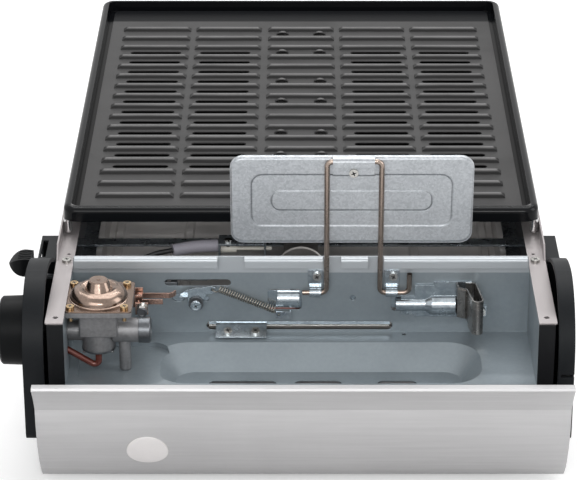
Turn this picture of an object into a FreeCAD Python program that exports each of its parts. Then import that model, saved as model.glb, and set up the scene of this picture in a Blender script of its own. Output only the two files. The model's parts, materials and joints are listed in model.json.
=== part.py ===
import FreeCAD, Part

import math
import os

import Sketcher
from FreeCAD import Placement, Rotation, Vector

# Table-top gas plancha grill, opened at the front.
# A long plate stands on the rails of a steel housing. In front of it is the bay for a gas can, with
# the regulator on the left, a spring-loaded can pusher on the right, and a front cover that swings down.
# Millimetres, +Z up. Sizes below are measured from the middle plane of the grill (across = 0), from the
# front face of the bay's back wall (deep = 0) and from the table (height = 0). Every piece is then moved
# by shift_x and shift_y, so that the origin is at the middle of the whole object's footprint.

doc = FreeCAD.newDocument("plancha_grill")
sheet = doc.addObject("Spreadsheet::Sheet", "sizes")


class Size:
    """A number that remembers the sheet formula it came from, so a shape can be bound to it."""

    def __init__(self, text, number):
        self.text = text
        self.number = number

    def __add__(self, other):
        return Size(f"({self.text} + {text_of(other)})", self.number + number_of(other))

    def __radd__(self, other):
        return Size(f"({text_of(other)} + {self.text})", number_of(other) + self.number)

    def __sub__(self, other):
        return Size(f"({self.text} - {text_of(other)})", self.number - number_of(other))

    def __rsub__(self, other):
        return Size(f"({text_of(other)} - {self.text})", number_of(other) - self.number)

    def __mul__(self, other):
        return Size(f"({self.text} * {text_of(other)})", self.number * number_of(other))

    def __rmul__(self, other):
        return Size(f"({text_of(other)} * {self.text})", number_of(other) * self.number)

    def __truediv__(self, other):
        return Size(f"({self.text} / {text_of(other)})", self.number / number_of(other))

    def __neg__(self):
        return Size(f"(0 - {self.text})", -self.number)


def text_of(value):
    return value.text if isinstance(value, Size) else f"{value:.6f}"


def number_of(value):
    return value.number if isinstance(value, Size) else float(value)


rows = 0


def size(alias, value):
    """One driving dimension: a row of the sheet with a name."""
    global rows
    rows += 1
    sheet.set(f"A{rows}", alias)
    sheet.set(f"B{rows}", str(value))
    sheet.setAlias(f"B{rows}", alias)
    return Size(f"sizes.{alias}", value)


# Driving dimensions
shift_x = size("shift_x", 9.3)
shift_y = size("shift_y", -163.45)

plate_width = size("plate_width", 297.6)
plate_depth = size("plate_depth", 382)
plate_front = size("plate_front", 43)
rim_top = size("rim_top", 130)
rim_width = size("rim_width", 4.8)
rim_wall = size("rim_wall", 1.2)
rim_roof = size("rim_roof", 2.6)
rim_round = size("rim_round", 3.4)
rim_skirt = size("rim_skirt", 9)
basin_depth = size("basin_depth", 8)
field_rise = size("field_rise", 2)
moat_width = size("moat_width", 4.4)
plate_floor = size("plate_floor", 1.6)
ridge_pitch = size("ridge_pitch", 18.68)
ridge_rows = 17
ridge_height = size("ridge_height", 2.6)
ridge_width = size("ridge_width", 6.4)
ridge_first = size("ridge_first", 75.4)
slot_width = size("slot_width", 5)
slot_length = size("slot_length", 36.5)
slot_rows = 12

rail_inner = size("rail_inner", 139.7)
rail_outer = size("rail_outer", 150.4)
rail_top = size("rail_top", 110.5)
rail_front = size("rail_front", -76.6)
housing_back = size("housing_back", 428)
sheet_steel = size("sheet_steel", 0.8)
rail_steel = size("rail_steel", 1)
lip_rise = size("lip_rise", 8)
housing_half = size("housing_half", 146.8)
housing_floor = size("housing_floor", 33)

bay_half = size("bay_half", 140.8)
bay_floor = size("bay_floor", 66)
bay_front = size("bay_front", -74)
wall_top = size("wall_top", 117.5)
trough_floor = size("trough_floor", 53)
can_y = size("can_y", -42)
can_z = size("can_z", 88.6)

cover_half = size("cover_half", 157.8)
cover_shift = size("cover_shift", 1.3)
cover_wall = size("cover_wall", 1.8)
cover_pivot_y = size("cover_pivot_y", -20)
cover_pivot_z = size("cover_pivot_z", 52)
badge_radius = size("badge_radius", 12.4)

side_front = size("side_front", -79)
side_low = size("side_low", 32.5)
side_high = size("side_high", 125.5)
side_wall = size("side_wall", 2)
rim_inner = size("rim_inner", 151.6)
left_outer = size("left_outer", 164.2)
right_outer = size("right_outer", 161.4)

knob_radius = size("knob_radius", 21)
knob_y = size("knob_y", -42)
knob_z = size("knob_z", 88.6)

regulator_x = size("regulator_x", -121)
regulator_top = size("regulator_top", 109.3)
regulator_y = size("regulator_y", -39)
regulator_side = size("regulator_side", 41)
dish_depth = size("dish_depth", 3)
pipe_y = size("pipe_y", -46)

shield_tilt = 7.0
wire_radius = size("wire_radius", 1.6)
wire_z = size("wire_z", 94.5)
wire_y = size("wire_y", -3.2)

tray_half = size("tray_half", 130)
tray_low = size("tray_low", 57)
tray_high = size("tray_high", 76)
tray_front = size("tray_front", 26)


# Building helpers
def vector(x, y, z):
    return Vector(number_of(x), number_of(y), number_of(z))


def bind(feature, prop, value):
    """Gives a property its value, and its formula where the value has one."""
    if isinstance(value, Size):
        feature.setExpression(prop, value.text)
    else:
        setattr(feature, prop, value)


def place(feature, at, rotation=Rotation()):
    feature.Placement = Placement(vector(*at), rotation)
    for axis, value in zip("xyz", at):
        if isinstance(value, Size):
            feature.setExpression(f"Placement.Base.{axis}", value.text)


ALONG_X = Rotation(Vector(0, 1, 0), 90)
ALONG_Y = Rotation(Vector(1, 0, 0), -90)
ALONG_Z = Rotation()
count = 0


def fresh(kind):
    global count
    count += 1
    return f"{kind}{count}"


def box(low, high):
    """A block from its low corner to its high corner."""
    block = doc.addObject("Part::Box", fresh("block"))
    for prop, lowest, highest in zip(("Length", "Width", "Height"), low, high):
        bind(block, prop, highest - lowest)
    place(block, low)
    return block


def rod(start, radius, length, direction=ALONG_Z):
    bar = doc.addObject("Part::Cylinder", fresh("rod"))
    bind(bar, "Radius", radius)
    bind(bar, "Height", length)
    place(bar, start, direction)
    return bar


def cone(start, radius_start, radius_end, length, direction=ALONG_Z):
    taper = doc.addObject("Part::Cone", fresh("cone"))
    bind(taper, "Radius1", radius_start)
    bind(taper, "Radius2", radius_end)
    bind(taper, "Height", length)
    place(taper, start, direction)
    return taper


def ball(centre, radius):
    sphere = doc.addObject("Part::Sphere", fresh("ball"))
    bind(sphere, "Radius", radius)
    place(sphere, centre)
    return sphere


def cut(base, *tools):
    result = doc.addObject("Part::Cut", fresh("cut"))
    result.Base = base
    result.Tool = tools[0] if len(tools) == 1 else together(*tools)
    return result


def fuse(*shapes):
    result = doc.addObject("Part::MultiFuse", fresh("fuse"))
    result.Shapes = list(shapes)
    result.Refine = True
    return result


def common(first, second):
    result = doc.addObject("Part::MultiCommon", fresh("common"))
    result.Shapes = [first, second]
    return result


def together(*shapes):
    group = doc.addObject("Part::Compound", fresh("group"))
    group.Links = list(shapes)
    return group


def made(shape):
    """A shape made by Part's own functions, where no feature fits its form."""
    feature = doc.addObject("Part::Feature", fresh("form"))
    feature.Shape = shape
    return feature


def rounded(base, radius, pick):
    """Rounds the edges that pick chooses by their two end points."""
    doc.recompute()
    chosen = []
    for index, edge in enumerate(base.Shape.Edges, start=1):
        ends = [vertex.Point for vertex in edge.Vertexes]
        if len(ends) == 2 and pick(ends[0], ends[1]):
            chosen.append((index, number_of(radius), number_of(radius)))
    if not chosen:
        raise ValueError(f"no edge to round on {base.Name}")
    result = doc.addObject("Part::Fillet", fresh("fillet"))
    result.Base = base
    result.Edges = chosen
    return result


def runs_along(axis):
    """Picks the edges that run along one axis."""
    def pick(first, second):
        step = second - first
        others = [abs(getattr(step, name)) for name in "xyz" if name != axis]
        return max(others) < 1e-4 and abs(getattr(step, axis)) > 1e-3
    return pick


def arc_centre(start, end, radius):
    """Centre of the arc from start to end; a positive radius puts it on the left of that way."""
    step = end - start
    middle = (start + end) * 0.5
    left = Vector(-step.y, step.x, 0).normalize()
    reach = math.sqrt(max(radius * radius - step.Length ** 2 / 4, 0))
    return middle + left * (reach if radius > 0 else -reach)


def outline(body, plane, corners, offset=0):
    """A closed sketch. Each corner is (across, up), with a radius as third value where the side that
    starts there is an arc. Every corner is bound to its formula."""
    sketch = body.newObject("Sketcher::SketchObject", fresh("outline"))
    support = [part for part in body.Origin.OriginFeatures if part.Role == plane][0]
    sketch.AttachmentSupport = [(support, "")]
    sketch.MapMode = "FlatFace"
    sketch.AttachmentOffset = Placement(Vector(0, 0, number_of(offset)), Rotation())
    if isinstance(offset, Size):
        sketch.setExpression("AttachmentOffset.Base.z", offset.text)
    points = [vector(corner[0], corner[1], 0) for corner in corners]
    starts = []
    ends = []
    for index, corner in enumerate(corners):
        start = points[index]
        end = points[(index + 1) % len(points)]
        if len(corner) == 3:
            radius = number_of(corner[2])
            centre = arc_centre(start, end, radius)
            first, last = (start, end) if radius > 0 else (end, start)
            angle_first = math.atan2(first.y - centre.y, first.x - centre.x)
            angle_last = math.atan2(last.y - centre.y, last.x - centre.x)
            circle = Part.Circle(centre, Vector(0, 0, 1), abs(radius))
            sketch.addGeometry(Part.ArcOfCircle(circle, angle_first, angle_last))
            starts.append(1 if radius > 0 else 2)
        else:
            sketch.addGeometry(Part.LineSegment(start, end))
            starts.append(1)
        ends.append(3 - starts[-1])
    for index, corner in enumerate(corners):
        following = (index + 1) % len(corners)
        sketch.addConstraint(
            Sketcher.Constraint("Coincident", index, ends[index], following, starts[following]))
        for kind, value, axis in (("DistanceX", corner[0], -2), ("DistanceY", corner[1], -1)):
            if abs(number_of(value)) < 1e-9:
                sketch.addConstraint(Sketcher.Constraint("PointOnObject", index, starts[index], axis))
                continue
            number = sketch.addConstraint(
                Sketcher.Constraint(kind, -1, 1, index, starts[index], number_of(value)))
            if isinstance(value, Size):
                sketch.setExpression(f"Constraints[{number}]", value.text)
        if len(corner) == 3:
            sketch.addConstraint(Sketcher.Constraint("Radius", index, abs(number_of(corner[2]))))
    return sketch


def new_body():
    return doc.addObject("PartDesign::Body", fresh("body"))


def pad(plane, corners, length, offset=0, both_ways=False, body=None):
    """A padded outline. Without a body it makes one."""
    body = body or new_body()
    feature = body.newObject("PartDesign::Pad", fresh("pad"))
    feature.Profile = outline(body, plane, corners, offset)
    bind(feature, "Length", length)
    feature.SideType = "Symmetric" if both_ways else "One side"
    return body


def pocket(body, plane, corners, length, offset=0, both_ways=False, reversed_way=False):
    feature = body.newObject("PartDesign::Pocket", fresh("pocket"))
    feature.Profile = outline(body, plane, corners, offset)
    bind(feature, "Length", length)
    feature.SideType = "Symmetric" if both_ways else "One side"
    feature.Reversed = reversed_way
    return feature


def revolve(corners, at, direction=ALONG_Z):
    """A turned piece: the outline's across is the radius and its up is along the axis."""
    body = new_body()
    feature = body.newObject("PartDesign::Revolution", fresh("turned"))
    sketch = outline(body, "XZ_Plane", corners)
    feature.Profile = sketch
    feature.ReferenceAxis = (sketch, ["V_Axis"])
    feature.Angle = 360
    place(body, at, direction)
    return body


def rectangle(low, high):
    return [(low[0], low[1]), (high[0], low[1]), (high[0], high[1]), (low[0], high[1])]


def round_rectangle(low, high, radius):
    """A rectangle with round corners, as corners of an outline."""
    return [(low[0] + radius, low[1]), (high[0] - radius, low[1], radius),
            (high[0], low[1] + radius), (high[0], high[1] - radius, radius),
            (high[0] - radius, high[1]), (low[0] + radius, high[1], radius),
            (low[0], high[1] - radius), (low[0], low[1] + radius, radius)]


def slot_outline(low, high):
    """A slot with half-round ends, longer across than up."""
    radius = (high[1] - low[1]) / 2
    middle = (high[1] + low[1]) / 2
    left = low[0] + radius
    right = high[0] - radius
    return [(left, low[1]), (right, low[1], radius), (high[0], middle, radius),
            (right, high[1]), (left, high[1], radius), (low[0], middle, radius)]


def bent_path(points, bend):
    """A wire through the points, its corners rounded with one bend radius."""
    edges = []
    start = points[0]
    for before, corner, after in zip(points, points[1:], points[2:]):
        into = (corner - before).normalize()
        out = (after - corner).normalize()
        half_turn = into.getAngle(out) / 2
        trim = bend * math.tan(half_turn)
        first = corner - into * trim
        last = corner + out * trim
        middle_way = (out - into).normalize()
        middle = corner + middle_way * (bend / math.cos(half_turn) - bend)
        edges.append(Part.LineSegment(start, first).toShape())
        edges.append(Part.Arc(first, middle, last).toShape())
        start = last
    edges.append(Part.LineSegment(start, points[-1]).toShape())
    return Part.Wire(edges)


def tube(path, radius):
    """A round bar swept along a path. Prints its volume against section times length."""
    first = path.OrderedEdges[0]
    start = first.valueAt(first.FirstParameter)
    way = first.tangentAt(first.FirstParameter)
    section = Part.Wire([Part.makeCircle(radius, start, way)])
    solid = path.makePipeShell([section], True, False)
    expected = math.pi * radius * radius * path.Length
    print(f"tube r {radius} length {path.Length:.1f} volume ratio {solid.Volume / expected:.4f}")
    return solid


nodes = []


def node(name, *shapes):
    """One sub-part: its Label names its file, and its Placement carries the shift to the origin."""
    piece = together(*shapes)
    piece.Label = name
    place(piece, (shift_x, shift_y, 0))
    nodes.append(piece)
    return piece


def screw(x, y, z, head_radius, direction, shank=4, head_height=1.6):
    """A pan-head screw: its head starts at the given point and its shank runs the other way."""
    head = rod((x, y, z), head_radius, head_height, direction)
    way = direction.multVec(Vector(0, 0, 1))
    back = [value - shank * step for value, step in zip((x, y, z), (way.x, way.y, way.z))]
    body = rod(tuple(back), 0.5 * number_of(head_radius), shank, direction)
    whole = fuse(head, body)
    return whole


FRONTWARD = Rotation(Vector(1, 0, 0), 90)
LEFTWARD = Rotation(Vector(0, 1, 0), -90)
DOWNWARD = Rotation(Vector(1, 0, 0), 180)


# Housing: floor plate, side and rear walls, rails with their upstanding lips
def floor_plate():
    half = housing_half - sheet_steel
    body = pad("XY_Plane", round_rectangle((-half, bay_front + 2), (half, housing_back), size("floor_round", 6)),
               sheet_steel * 1.5, offset=housing_floor)
    for middle in (-90, 0, 90):
        pocket(body, "XY_Plane", slot_outline((middle - 26, 300), (middle + 26, 308)),
               4, offset=housing_floor - 1, reversed_way=True)
    node("floor_plate", body)


def housing_walls():
    top = rail_top - rail_steel
    low = housing_floor + sheet_steel * 1.5
    for name, side in (("left", -1), ("right", 1)):
        wall = box((housing_half - sheet_steel, bay_front + 6, low), (housing_half, housing_back, top))
        holes = [rod((housing_half - 3, cover_pivot_y, cover_pivot_z), 3, 6, ALONG_X)]
        if side < 0:
            holes.append(rod((housing_half - 3, knob_y, knob_z), 8, 6, ALONG_X))
            holes.append(box((housing_half - 3, 4, 97), (housing_half + 3, 40, 104)))
        wall = cut(wall, *holes)
        node(f"housing_wall_{name}", mirrored(wall) if side < 0 else wall)
    inner = housing_half - sheet_steel
    rear = box((-inner, housing_back - sheet_steel, low), (inner, housing_back, top))
    window = box((-tray_half - 3.8, housing_back - 4, tray_low - 2), (tray_half + 3.8, housing_back + 4, tray_high + 3))
    node("rear_wall", cut(rear, window))


def mirrored(shape):
    """The same shape on the other side of the middle plane."""
    mirror = doc.addObject("Part::Mirroring", fresh("mirror"))
    mirror.Source = shape
    mirror.Normal = Vector(1, 0, 0)
    return mirror


def rails():
    lip_start = size("lip_start", 8)
    low = rail_top - rail_steel
    corner = size("rail_corner", 1.2)
    arm = pad("XY_Plane",
              [(rail_inner, rail_front), (rail_outer - corner, rail_front), (rail_outer, rail_front + corner),
               (rail_outer, housing_back), (rail_inner, housing_back)],
              rail_steel, offset=low)
    lip = pad("YZ_Plane",
              [(lip_start, low), (housing_back, low), (housing_back, rail_top + lip_rise),
               (lip_start + lip_rise, rail_top + lip_rise), (lip_start, rail_top, -lip_rise)],
              rail_steel, offset=rail_outer - rail_steel)
    front_hole = rod((size("rail_hole_x", 144.6), size("rail_hole_y", -69), low - 1), size("rail_hole_r", 1.6), 4)
    small_hole = rod((143.5, 18, low - 1), 1.1, 4)
    right = cut(fuse(arm, lip), front_hole, small_hole)
    back_bar = box((-rail_inner - 1, housing_back - 12, low), (rail_inner + 1, housing_back, rail_top))
    back_lip = box((-rail_outer, housing_back - rail_steel, low), (rail_outer, housing_back, rail_top + lip_rise))
    heads = [screw(side * 144, 7.5, rail_top, 2.9, ALONG_Z, shank=6, head_height=1.8) for side in (-1, 1)]
    node("top_frame", cut(fuse(right, mirrored(right), back_bar, back_lip), *heads))
    node("rail_screws", *heads)


def bay_pan():
    """The blue-grey pressing: back wall with its folded top edge, side walls, floor with a drawn trough."""
    steel = sheet_steel
    wall = pad("XZ_Plane", [(-bay_half, bay_floor - steel), (bay_half, bay_floor - steel),
                            (bay_half, rail_top - 2), (bay_half - 2, wall_top), (-bay_half + 2, wall_top),
                            (-bay_half, rail_top - 2)], steel, offset=-steel)
    slots = [
        slot_outline((-83.8, 97.4), (-43.1, 101.9)),
        slot_outline((-79.6, 86.8), (-71.2, 92.1)),
        slot_outline((-61, 86.8), (-56.5, 90.4)),
        slot_outline((-58.3, 67.4), (56.4, 73.4)),
        round_rectangle((-20.5, 81.2), (0.5, 95.4), 2.4),
        round_rectangle((55.5, 80.4), (97, 90), 2.4),
    ]
    for corners in slots:
        pocket(wall, "XZ_Plane", corners, 4, offset=-2, both_ways=True)
    hole = rod((31.9, -2, 89.3), 1.8, 4, ALONG_Y)
    hem_front = size("hem_front", -3.8)
    hem_low = size("hem_low", 111)
    hems = []
    hem_round = size("hem_round", 2.2)
    hem_end = 138.4
    for left, right in ((-hem_end, -51), (-34.5, 13.4), (24.5, 41), (50.6, hem_end)):
        hem = pad("YZ_Plane",
                  [(hem_front + steel, hem_low), (hem_front + steel, wall_top - hem_round, -(hem_round.number - steel.number)),
                   (hem_front + hem_round, wall_top - steel), (0.3, wall_top - steel), (0.3, wall_top),
                   (hem_front + hem_round, wall_top, hem_round.number), (hem_front, wall_top - hem_round),
                   (hem_front, hem_low)],
                  right - left, offset=left)
        hems.append(hem)
    floor = box((-bay_half, bay_front, bay_floor - steel), (bay_half, steel, bay_floor))
    side = box((bay_half - steel, bay_front, bay_floor - steel), (bay_half, steel, rail_top - rail_steel))
    apron = box((-bay_half, bay_front, housing_floor + 2), (bay_half, bay_front + steel, bay_floor + 2.5))
    outer, inner = trough_forms(steel)
    dish_low, dish_high = (-134.4, -68.4), (-80, -14.3)
    dish = pad("XY_Plane", round_rectangle((dish_low[0] - 0.8, dish_low[1] - 0.8), (dish_high[0], dish_high[1] + 0.8), 13),
               dish_depth + 0.4, offset=bay_floor - dish_depth - steel)
    dish_inside = pad("XY_Plane", round_rectangle(dish_low, dish_high, 12.2), dish_depth + 2, offset=bay_floor - dish_depth)
    sheet_form = fuse(cut(wall, hole), *hems, floor, side, mirrored(side), apron, outer, dish)
    notch = box((rail_inner - 0.1, -1, rail_top - rail_steel), (bay_half + 1, 2, wall_top + 1))
    holes = [inner, dish_inside, notch, mirrored(notch)]
    for left, right in ((-56, -14.7), (-4, 24.9), (46.2, 70.4)):
        vent = pad("XY_Plane", slot_outline((left, -49), (right, -40)), 10, offset=trough_floor - 5)
        holes.append(vent)
    holes.append(rod((63.7, -3.6, bay_floor - 3), 1.3, 6))
    knob_hole = rod((-bay_half - 3, knob_y, knob_z), 7, 8, ALONG_X)
    pipe_hole = rod((-bay_half - 3, pipe_y, 78.4), 4.4, 8, ALONG_X)
    node("bay_pan", cut(sheet_form, *holes, knob_hole, pipe_hole))


def trough_forms(steel):
    """Outside and inside of the drawn trough, lofted from its mouth to its floor."""
    mouth_low, mouth_high = Vector(-88, -68, 0), Vector(109, -14.5, 0)
    base_low, base_high = Vector(-76, -57, 0), Vector(98, -29, 0)
    top = number_of(bay_floor)
    low = number_of(trough_floor)
    wall = number_of(steel)

    def ring(low_corner, high_corner, radius, height):
        points = [Vector(low_corner.x + radius, low_corner.y, height),
                  Vector(high_corner.x - radius, low_corner.y, height),
                  Vector(high_corner.x, low_corner.y + radius, height),
                  Vector(high_corner.x, high_corner.y - radius, height),
                  Vector(high_corner.x - radius, high_corner.y, height),
                  Vector(low_corner.x + radius, high_corner.y, height),
                  Vector(low_corner.x, high_corner.y - radius, height),
                  Vector(low_corner.x, low_corner.y + radius, height)]
        centres = [Vector(high_corner.x - radius, low_corner.y + radius, height),
                   Vector(high_corner.x - radius, high_corner.y - radius, height),
                   Vector(low_corner.x + radius, high_corner.y - radius, height),
                   Vector(low_corner.x + radius, low_corner.y + radius, height)]
        edges = []
        for index in range(4):
            start, end = points[2 * index], points[2 * index + 1]
            edges.append(Part.LineSegment(start, end).toShape())
            corner_end = points[(2 * index + 2) % 8]
            way = ((end - centres[index]) + (corner_end - centres[index])).normalize()
            edges.append(Part.Arc(end, centres[index] + way * radius, corner_end).toShape())
        return Part.Wire(edges)

    inside = Part.makeLoft([ring(base_low, base_high, 12, low), ring(mouth_low, mouth_high, 20, top + 0.01)], True, True)
    grow = Vector(wall, wall, 0)
    outside = Part.makeLoft([ring(base_low - grow, base_high + grow, 12 + wall, low - wall),
                             ring(mouth_low - grow, mouth_high + grow, 20 + wall, top)], True, True)
    return made(outside), made(inside)


# Front: cover, side covers, knob
def front_cover(disc):
    """Extruded cover: one profile with a flared lip, an S-shaped face and a turned-in foot."""
    wall = cover_wall
    lip = (size("cover_lip_y", -109.5), size("cover_lip_z", 83))
    neck = (size("cover_neck_y", -94.4), size("cover_neck_z", 62.5))
    foot = (size("cover_foot_y", -67.6), size("cover_foot_z", 3.7))
    flare = size("cover_flare_radius", 90)
    belly = size("cover_belly_radius", 81)
    inner_face = [(foot[0] + 0.5, foot[1] + 2.3, -(belly.number - wall.number)),
                  (neck[0] + 1.9, neck[1] + 0.1, flare.number), (lip[0] + 2.4, lip[1] - 0.6)]
    section = [
        (lip[0] + 5.5, lip[1] + 1.4), (lip[0] + 0.8, lip[1] + 1.4),
        (lip[0], lip[1], flare.number * -1), (neck[0], neck[1], belly.number),
        (foot[0], foot[1]), (foot[0] + 5.4, foot[1] + 3.4), (foot[0] + 4.6, foot[1] + 4.7),
        *inner_face, (lip[0] + 5.5, lip[1] - 0.3)]
    body = pad("YZ_Plane", section, cover_half * 2, offset=cover_shift - cover_half)
    node("front_cover", cut(body, disc))
    # Everything in front of the cover's inner face, which trims the pieces behind it
    return pad("YZ_Plane", [*inner_face, (-130, lip[1] - 0.6), (-130, foot[1] + 2.3)],
               cover_half * 2, offset=cover_shift - cover_half)


def cover_hardware(ahead):
    """Two arms behind the cover's ends, cut to its inner face, and the pins they swing on."""
    inner = size("arm_inner", 149.9)
    thick = size("arm_thick", 1.2)
    arms = []
    pins = []
    for side in (1, -1):
        arm = pad("YZ_Plane",
                  [(-93, 46), (-91, 36), (-82, 22), (-72, 22), (cover_pivot_y + 3, cover_pivot_z - 7.9, 8.5),
                   (cover_pivot_y, cover_pivot_z + 8.5), (-62, 56), (-93, 57)],
                  thick, offset=inner)
        arm = cut(arm, rod((inner - 1, cover_pivot_y, cover_pivot_z), 3.05, 4, ALONG_X))
        tab = box((inner - 11, -94, 40), (inner + 0.6, -87, 52))
        whole = fuse(arm, tab)
        pin = fuse(rod((housing_half - 3, cover_pivot_y, cover_pivot_z), 3, 8, ALONG_X),
                   rod((151.4, cover_pivot_y, cover_pivot_z), 4.6, 1.6, ALONG_X))
        arms.append(cut(whole if side > 0 else mirrored(whole), ahead))
        pins.append(pin if side > 0 else mirrored(pin))
    node("cover_arms", *arms)
    node("cover_pivot_pins", *pins)


def badge():
    """The bare round plate on the cover's face."""
    wall = cover_wall.number
    centre_y, centre_z = -81.9, 20.6
    lean = math.radians(34.5)
    way = Vector(0, -math.cos(lean), -math.sin(lean))
    disc = Part.makeCylinder(badge_radius.number, 1.6, Vector(-90.3, centre_y, centre_z) - way * 0.6, way)
    plate = made(disc)
    node("badge", plate)
    return plate


def side_covers():
    """The black end covers: hollow shells with a D-shaped rim at the front and a block behind it."""
    round_low = size("side_round_low", 6)
    round_top = size("side_round_top", 42)
    crown = size("side_crown", 90)
    back = size("side_back", 9)
    wall = side_wall
    for name, outer in (("left", left_outer), ("right", right_outer)):
        d_shape = [(side_front + round_low, side_low), (back, side_low), (back, rail_top + 1, crown.number),
                   (side_front + round_top, side_high, round_top.number),
                   (side_front, side_high - round_top), (side_front, side_low + round_low, round_low.number)]
        shell = pad("YZ_Plane", d_shape, outer - rim_inner, offset=rim_inner)
        inside = [(side_front + round_low, side_low + wall), (back - wall, side_low + wall),
                  (back - wall, rail_top - 0.4, crown.number),
                  (side_front + round_top, side_high - wall, round_top.number - wall.number),
                  (side_front + wall, side_high - round_top),
                  (side_front + wall, side_low + round_low, round_low.number - wall.number)]
        hollow = pad("YZ_Plane", inside, outer - rim_inner - wall, offset=rim_inner)
        rib = box((housing_half, 0, side_low + 4), (rim_inner + 1, 7, 97))
        block = block_shell(name, outer)
        whole = fuse(cut(shell, hollow), rib, block)
        if name == "left":
            slot = box((outer - 6.6, 14, rail_top - 12), (outer - 3.4, 38, rail_top + 2))
            arm_gap = box((housing_half - 1, 2.6, 98.6), (outer - 1.4, 36, 102.4))
            riser_gap = box((outer - 7.6, 2.6, 98.6), (outer - 1.4, 36, 108.2))
            stalk_gap = box((outer - 7.6, 2.6, 104.6), (outer + 3, 36, 108.2))
            knob_bore = rod((rim_inner - 2, knob_y, knob_z), 8.5, 20, ALONG_X)
            whole = cut(whole, fuse(slot, arm_gap, riser_gap, stalk_gap), knob_bore)
        else:
            notch = box((outer - 8, side_front - 1, 75.8), (outer + 1, side_front + 4, 77.6))
            whole = cut(whole, notch)
        node(f"side_cover_{name}", whole if name == "right" else mirrored(whole))


def corner_posts():
    """Black posts that close the gap between the bay's side walls and the rails' ends."""
    face = box((rail_inner, side_front + 1.2, side_low + 2), (149.2, side_front + 3.4, rail_top - rail_steel))
    web = box((bay_half + 1.2, side_front + 3, side_low + 2), (145.4, bay_front + 14, rail_top - rail_steel))
    post = fuse(face, web)
    node("corner_posts", post, mirrored(post))


def block_shell(name, outer):
    """The flat-topped block behind the D, at rail level."""
    width = outer - rail_outer - 0.6
    reach = 45
    inset = 2
    solid = box((rail_outer + 0.4, 7.5, side_low + 16), (outer - inset, reach, rail_top))
    hollow = box((rail_outer - 1, 5, side_low + 14), (outer - inset - 1.6, reach - 2, rail_top - 1.6))
    return cut(solid, hollow)


def knob():
    """The gas knob: a smooth turned cap with a hollow face and a grip bar across it."""
    face = size("knob_face", 15.2)
    hollow = size("knob_hollow", 13.4)
    sleeve = revolve([(0, 0), (20.2, 0), (knob_radius, 1), (20.6, face - 1.4), (19.6, face - 0.3), (19, face),
                      (17.6, face), (17.2, hollow), (0, hollow)],
                     (-left_outer - 0.6, knob_y, knob_z), LEFTWARD)
    end = -left_outer - 0.6 - face
    bar = box((end + 0.2, knob_y - 2.8, knob_z - 16.6), (end + 3, knob_y + 2.8, knob_z + 16.6))
    bar = rounded(bar, 1.2, runs_along("x"))
    mark = box((end - 1, knob_y - 0.6, knob_z + 6), (end + 0.8, knob_y + 0.6, knob_z + 14))
    shaft = rod((-left_outer - 1, knob_y, knob_z), 3.4, left_outer - 145.6, ALONG_X)
    node("gas_knob", cut(fuse(sleeve, bar, shaft), mark))


# Small screws of one kind, gathered from several pieces into one sub-part
bay_fasteners = []


# Regulator and gas parts
def regulator():
    x, y, top = regulator_x, can_y, regulator_top
    half = regulator_side / 2
    z = can_z
    middle = regulator_y
    foot_x = x - 0.8
    foot_low = size("regulator_foot", 78.3)
    flange = box((x - half + 1.6, middle - half, top - 4.2), (x + half, middle + half, top - 1))
    block = box((x - 11.8, y - 10.4, z + 0.3), (x + 11.2, y + 17, top - 4))
    left_boss = rod((x - 19.4, y, z), 6.2, 12, ALONG_X)
    right_boss = rod((x + 8, y, z), 7.4, 15.6, ALONG_X)
    cup = rod((foot_x, y, foot_low), 10, z + 3 - foot_low, ALONG_Z)
    neck = cone((x, middle, top - 10), 10, 15, 7)
    gusset = box((x + 9, y - 3, z + 4), (x + 18, y + 3, top - 4))
    body = fuse(flange, block, left_boss, right_boss, cup, neck, gusset)
    body = rounded(body, 1.4, lambda a, b: runs_along("z")(a, b) and abs(a.z - b.z) > 8)
    socket = rod((x + 20, y, z), 4.2, 6, ALONG_X)
    small = [screw(foot_x + 7.8 * side, y - 4.6, foot_low - 1.2, 1.4, DOWNWARD, shank=4, head_height=0.9)
             for side in (-1, 1)]
    reach = 16
    heads = [screw(x + reach * a, middle + reach * b, top, 2.45, ALONG_Z, shank=8, head_height=1.9)
             for a in (-1, 1) for b in (-1, 1)]
    pin_x, pin_y, pin_low = x + 15, y - 1.4, bay_floor - dish_depth
    pin = fuse(rod((pin_x, pin_y, pin_low + 1.2), 3.6, z - pin_low - 5),
               cone((pin_x, pin_y, pin_low), 2.8, 3.6, 1.2))
    node("regulator_body", cut(body, socket, pin, *small, *heads))

    plate = pad("XY_Plane", round_rectangle((x - half + 1.6, middle - half), (x + half, middle + half), 2), 1,
                offset=top - 1)
    plate = cut(plate, rod((x, middle, top - 3), 16, 4))
    dome = revolve([(15.6, -0.6), (18, -0.6), (18, 0.3), (17.2, 0.6, 6), (12, 6.3), (10.8, 6.9), (9.8, 6.5), (8.2, 5.6),
                    (5.9, 11), (5.2, 11.6), (1, 11.6), (1, 12), (0, 12), (0, 10.6), (4.8, 10.6), (7.4, 4.6),
                    (10.4, 5.4), (13, 3.6), (15.6, 0.2)], (x, middle, top))
    node("regulator_cap", cut(fuse(plate, dome), *heads))
    node("regulator_screws", *heads)

    cap = revolve([(3.6, 0), (8, 0), (8, 6.6), (7.3, 7.3), (4.6, 7.3), (3.6, 5.5)], (x + 23.6, y, z), ALONG_X)
    node("inlet_cap", cap)
    node("locator_pin", pin)
    bottom = rod((foot_x, y, foot_low - 1.2), 10.2, 1.2)
    node("regulator_foot_plate", cut(bottom, *small))
    bay_fasteners.extend(small)
    stem = rod((x - 25.6, y, z), 2.4, 6, ALONG_X)
    collar = rod((x - 24.4, y, z), 6, 3, ALONG_X)
    node("valve_spindle", fuse(stem, collar))


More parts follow.
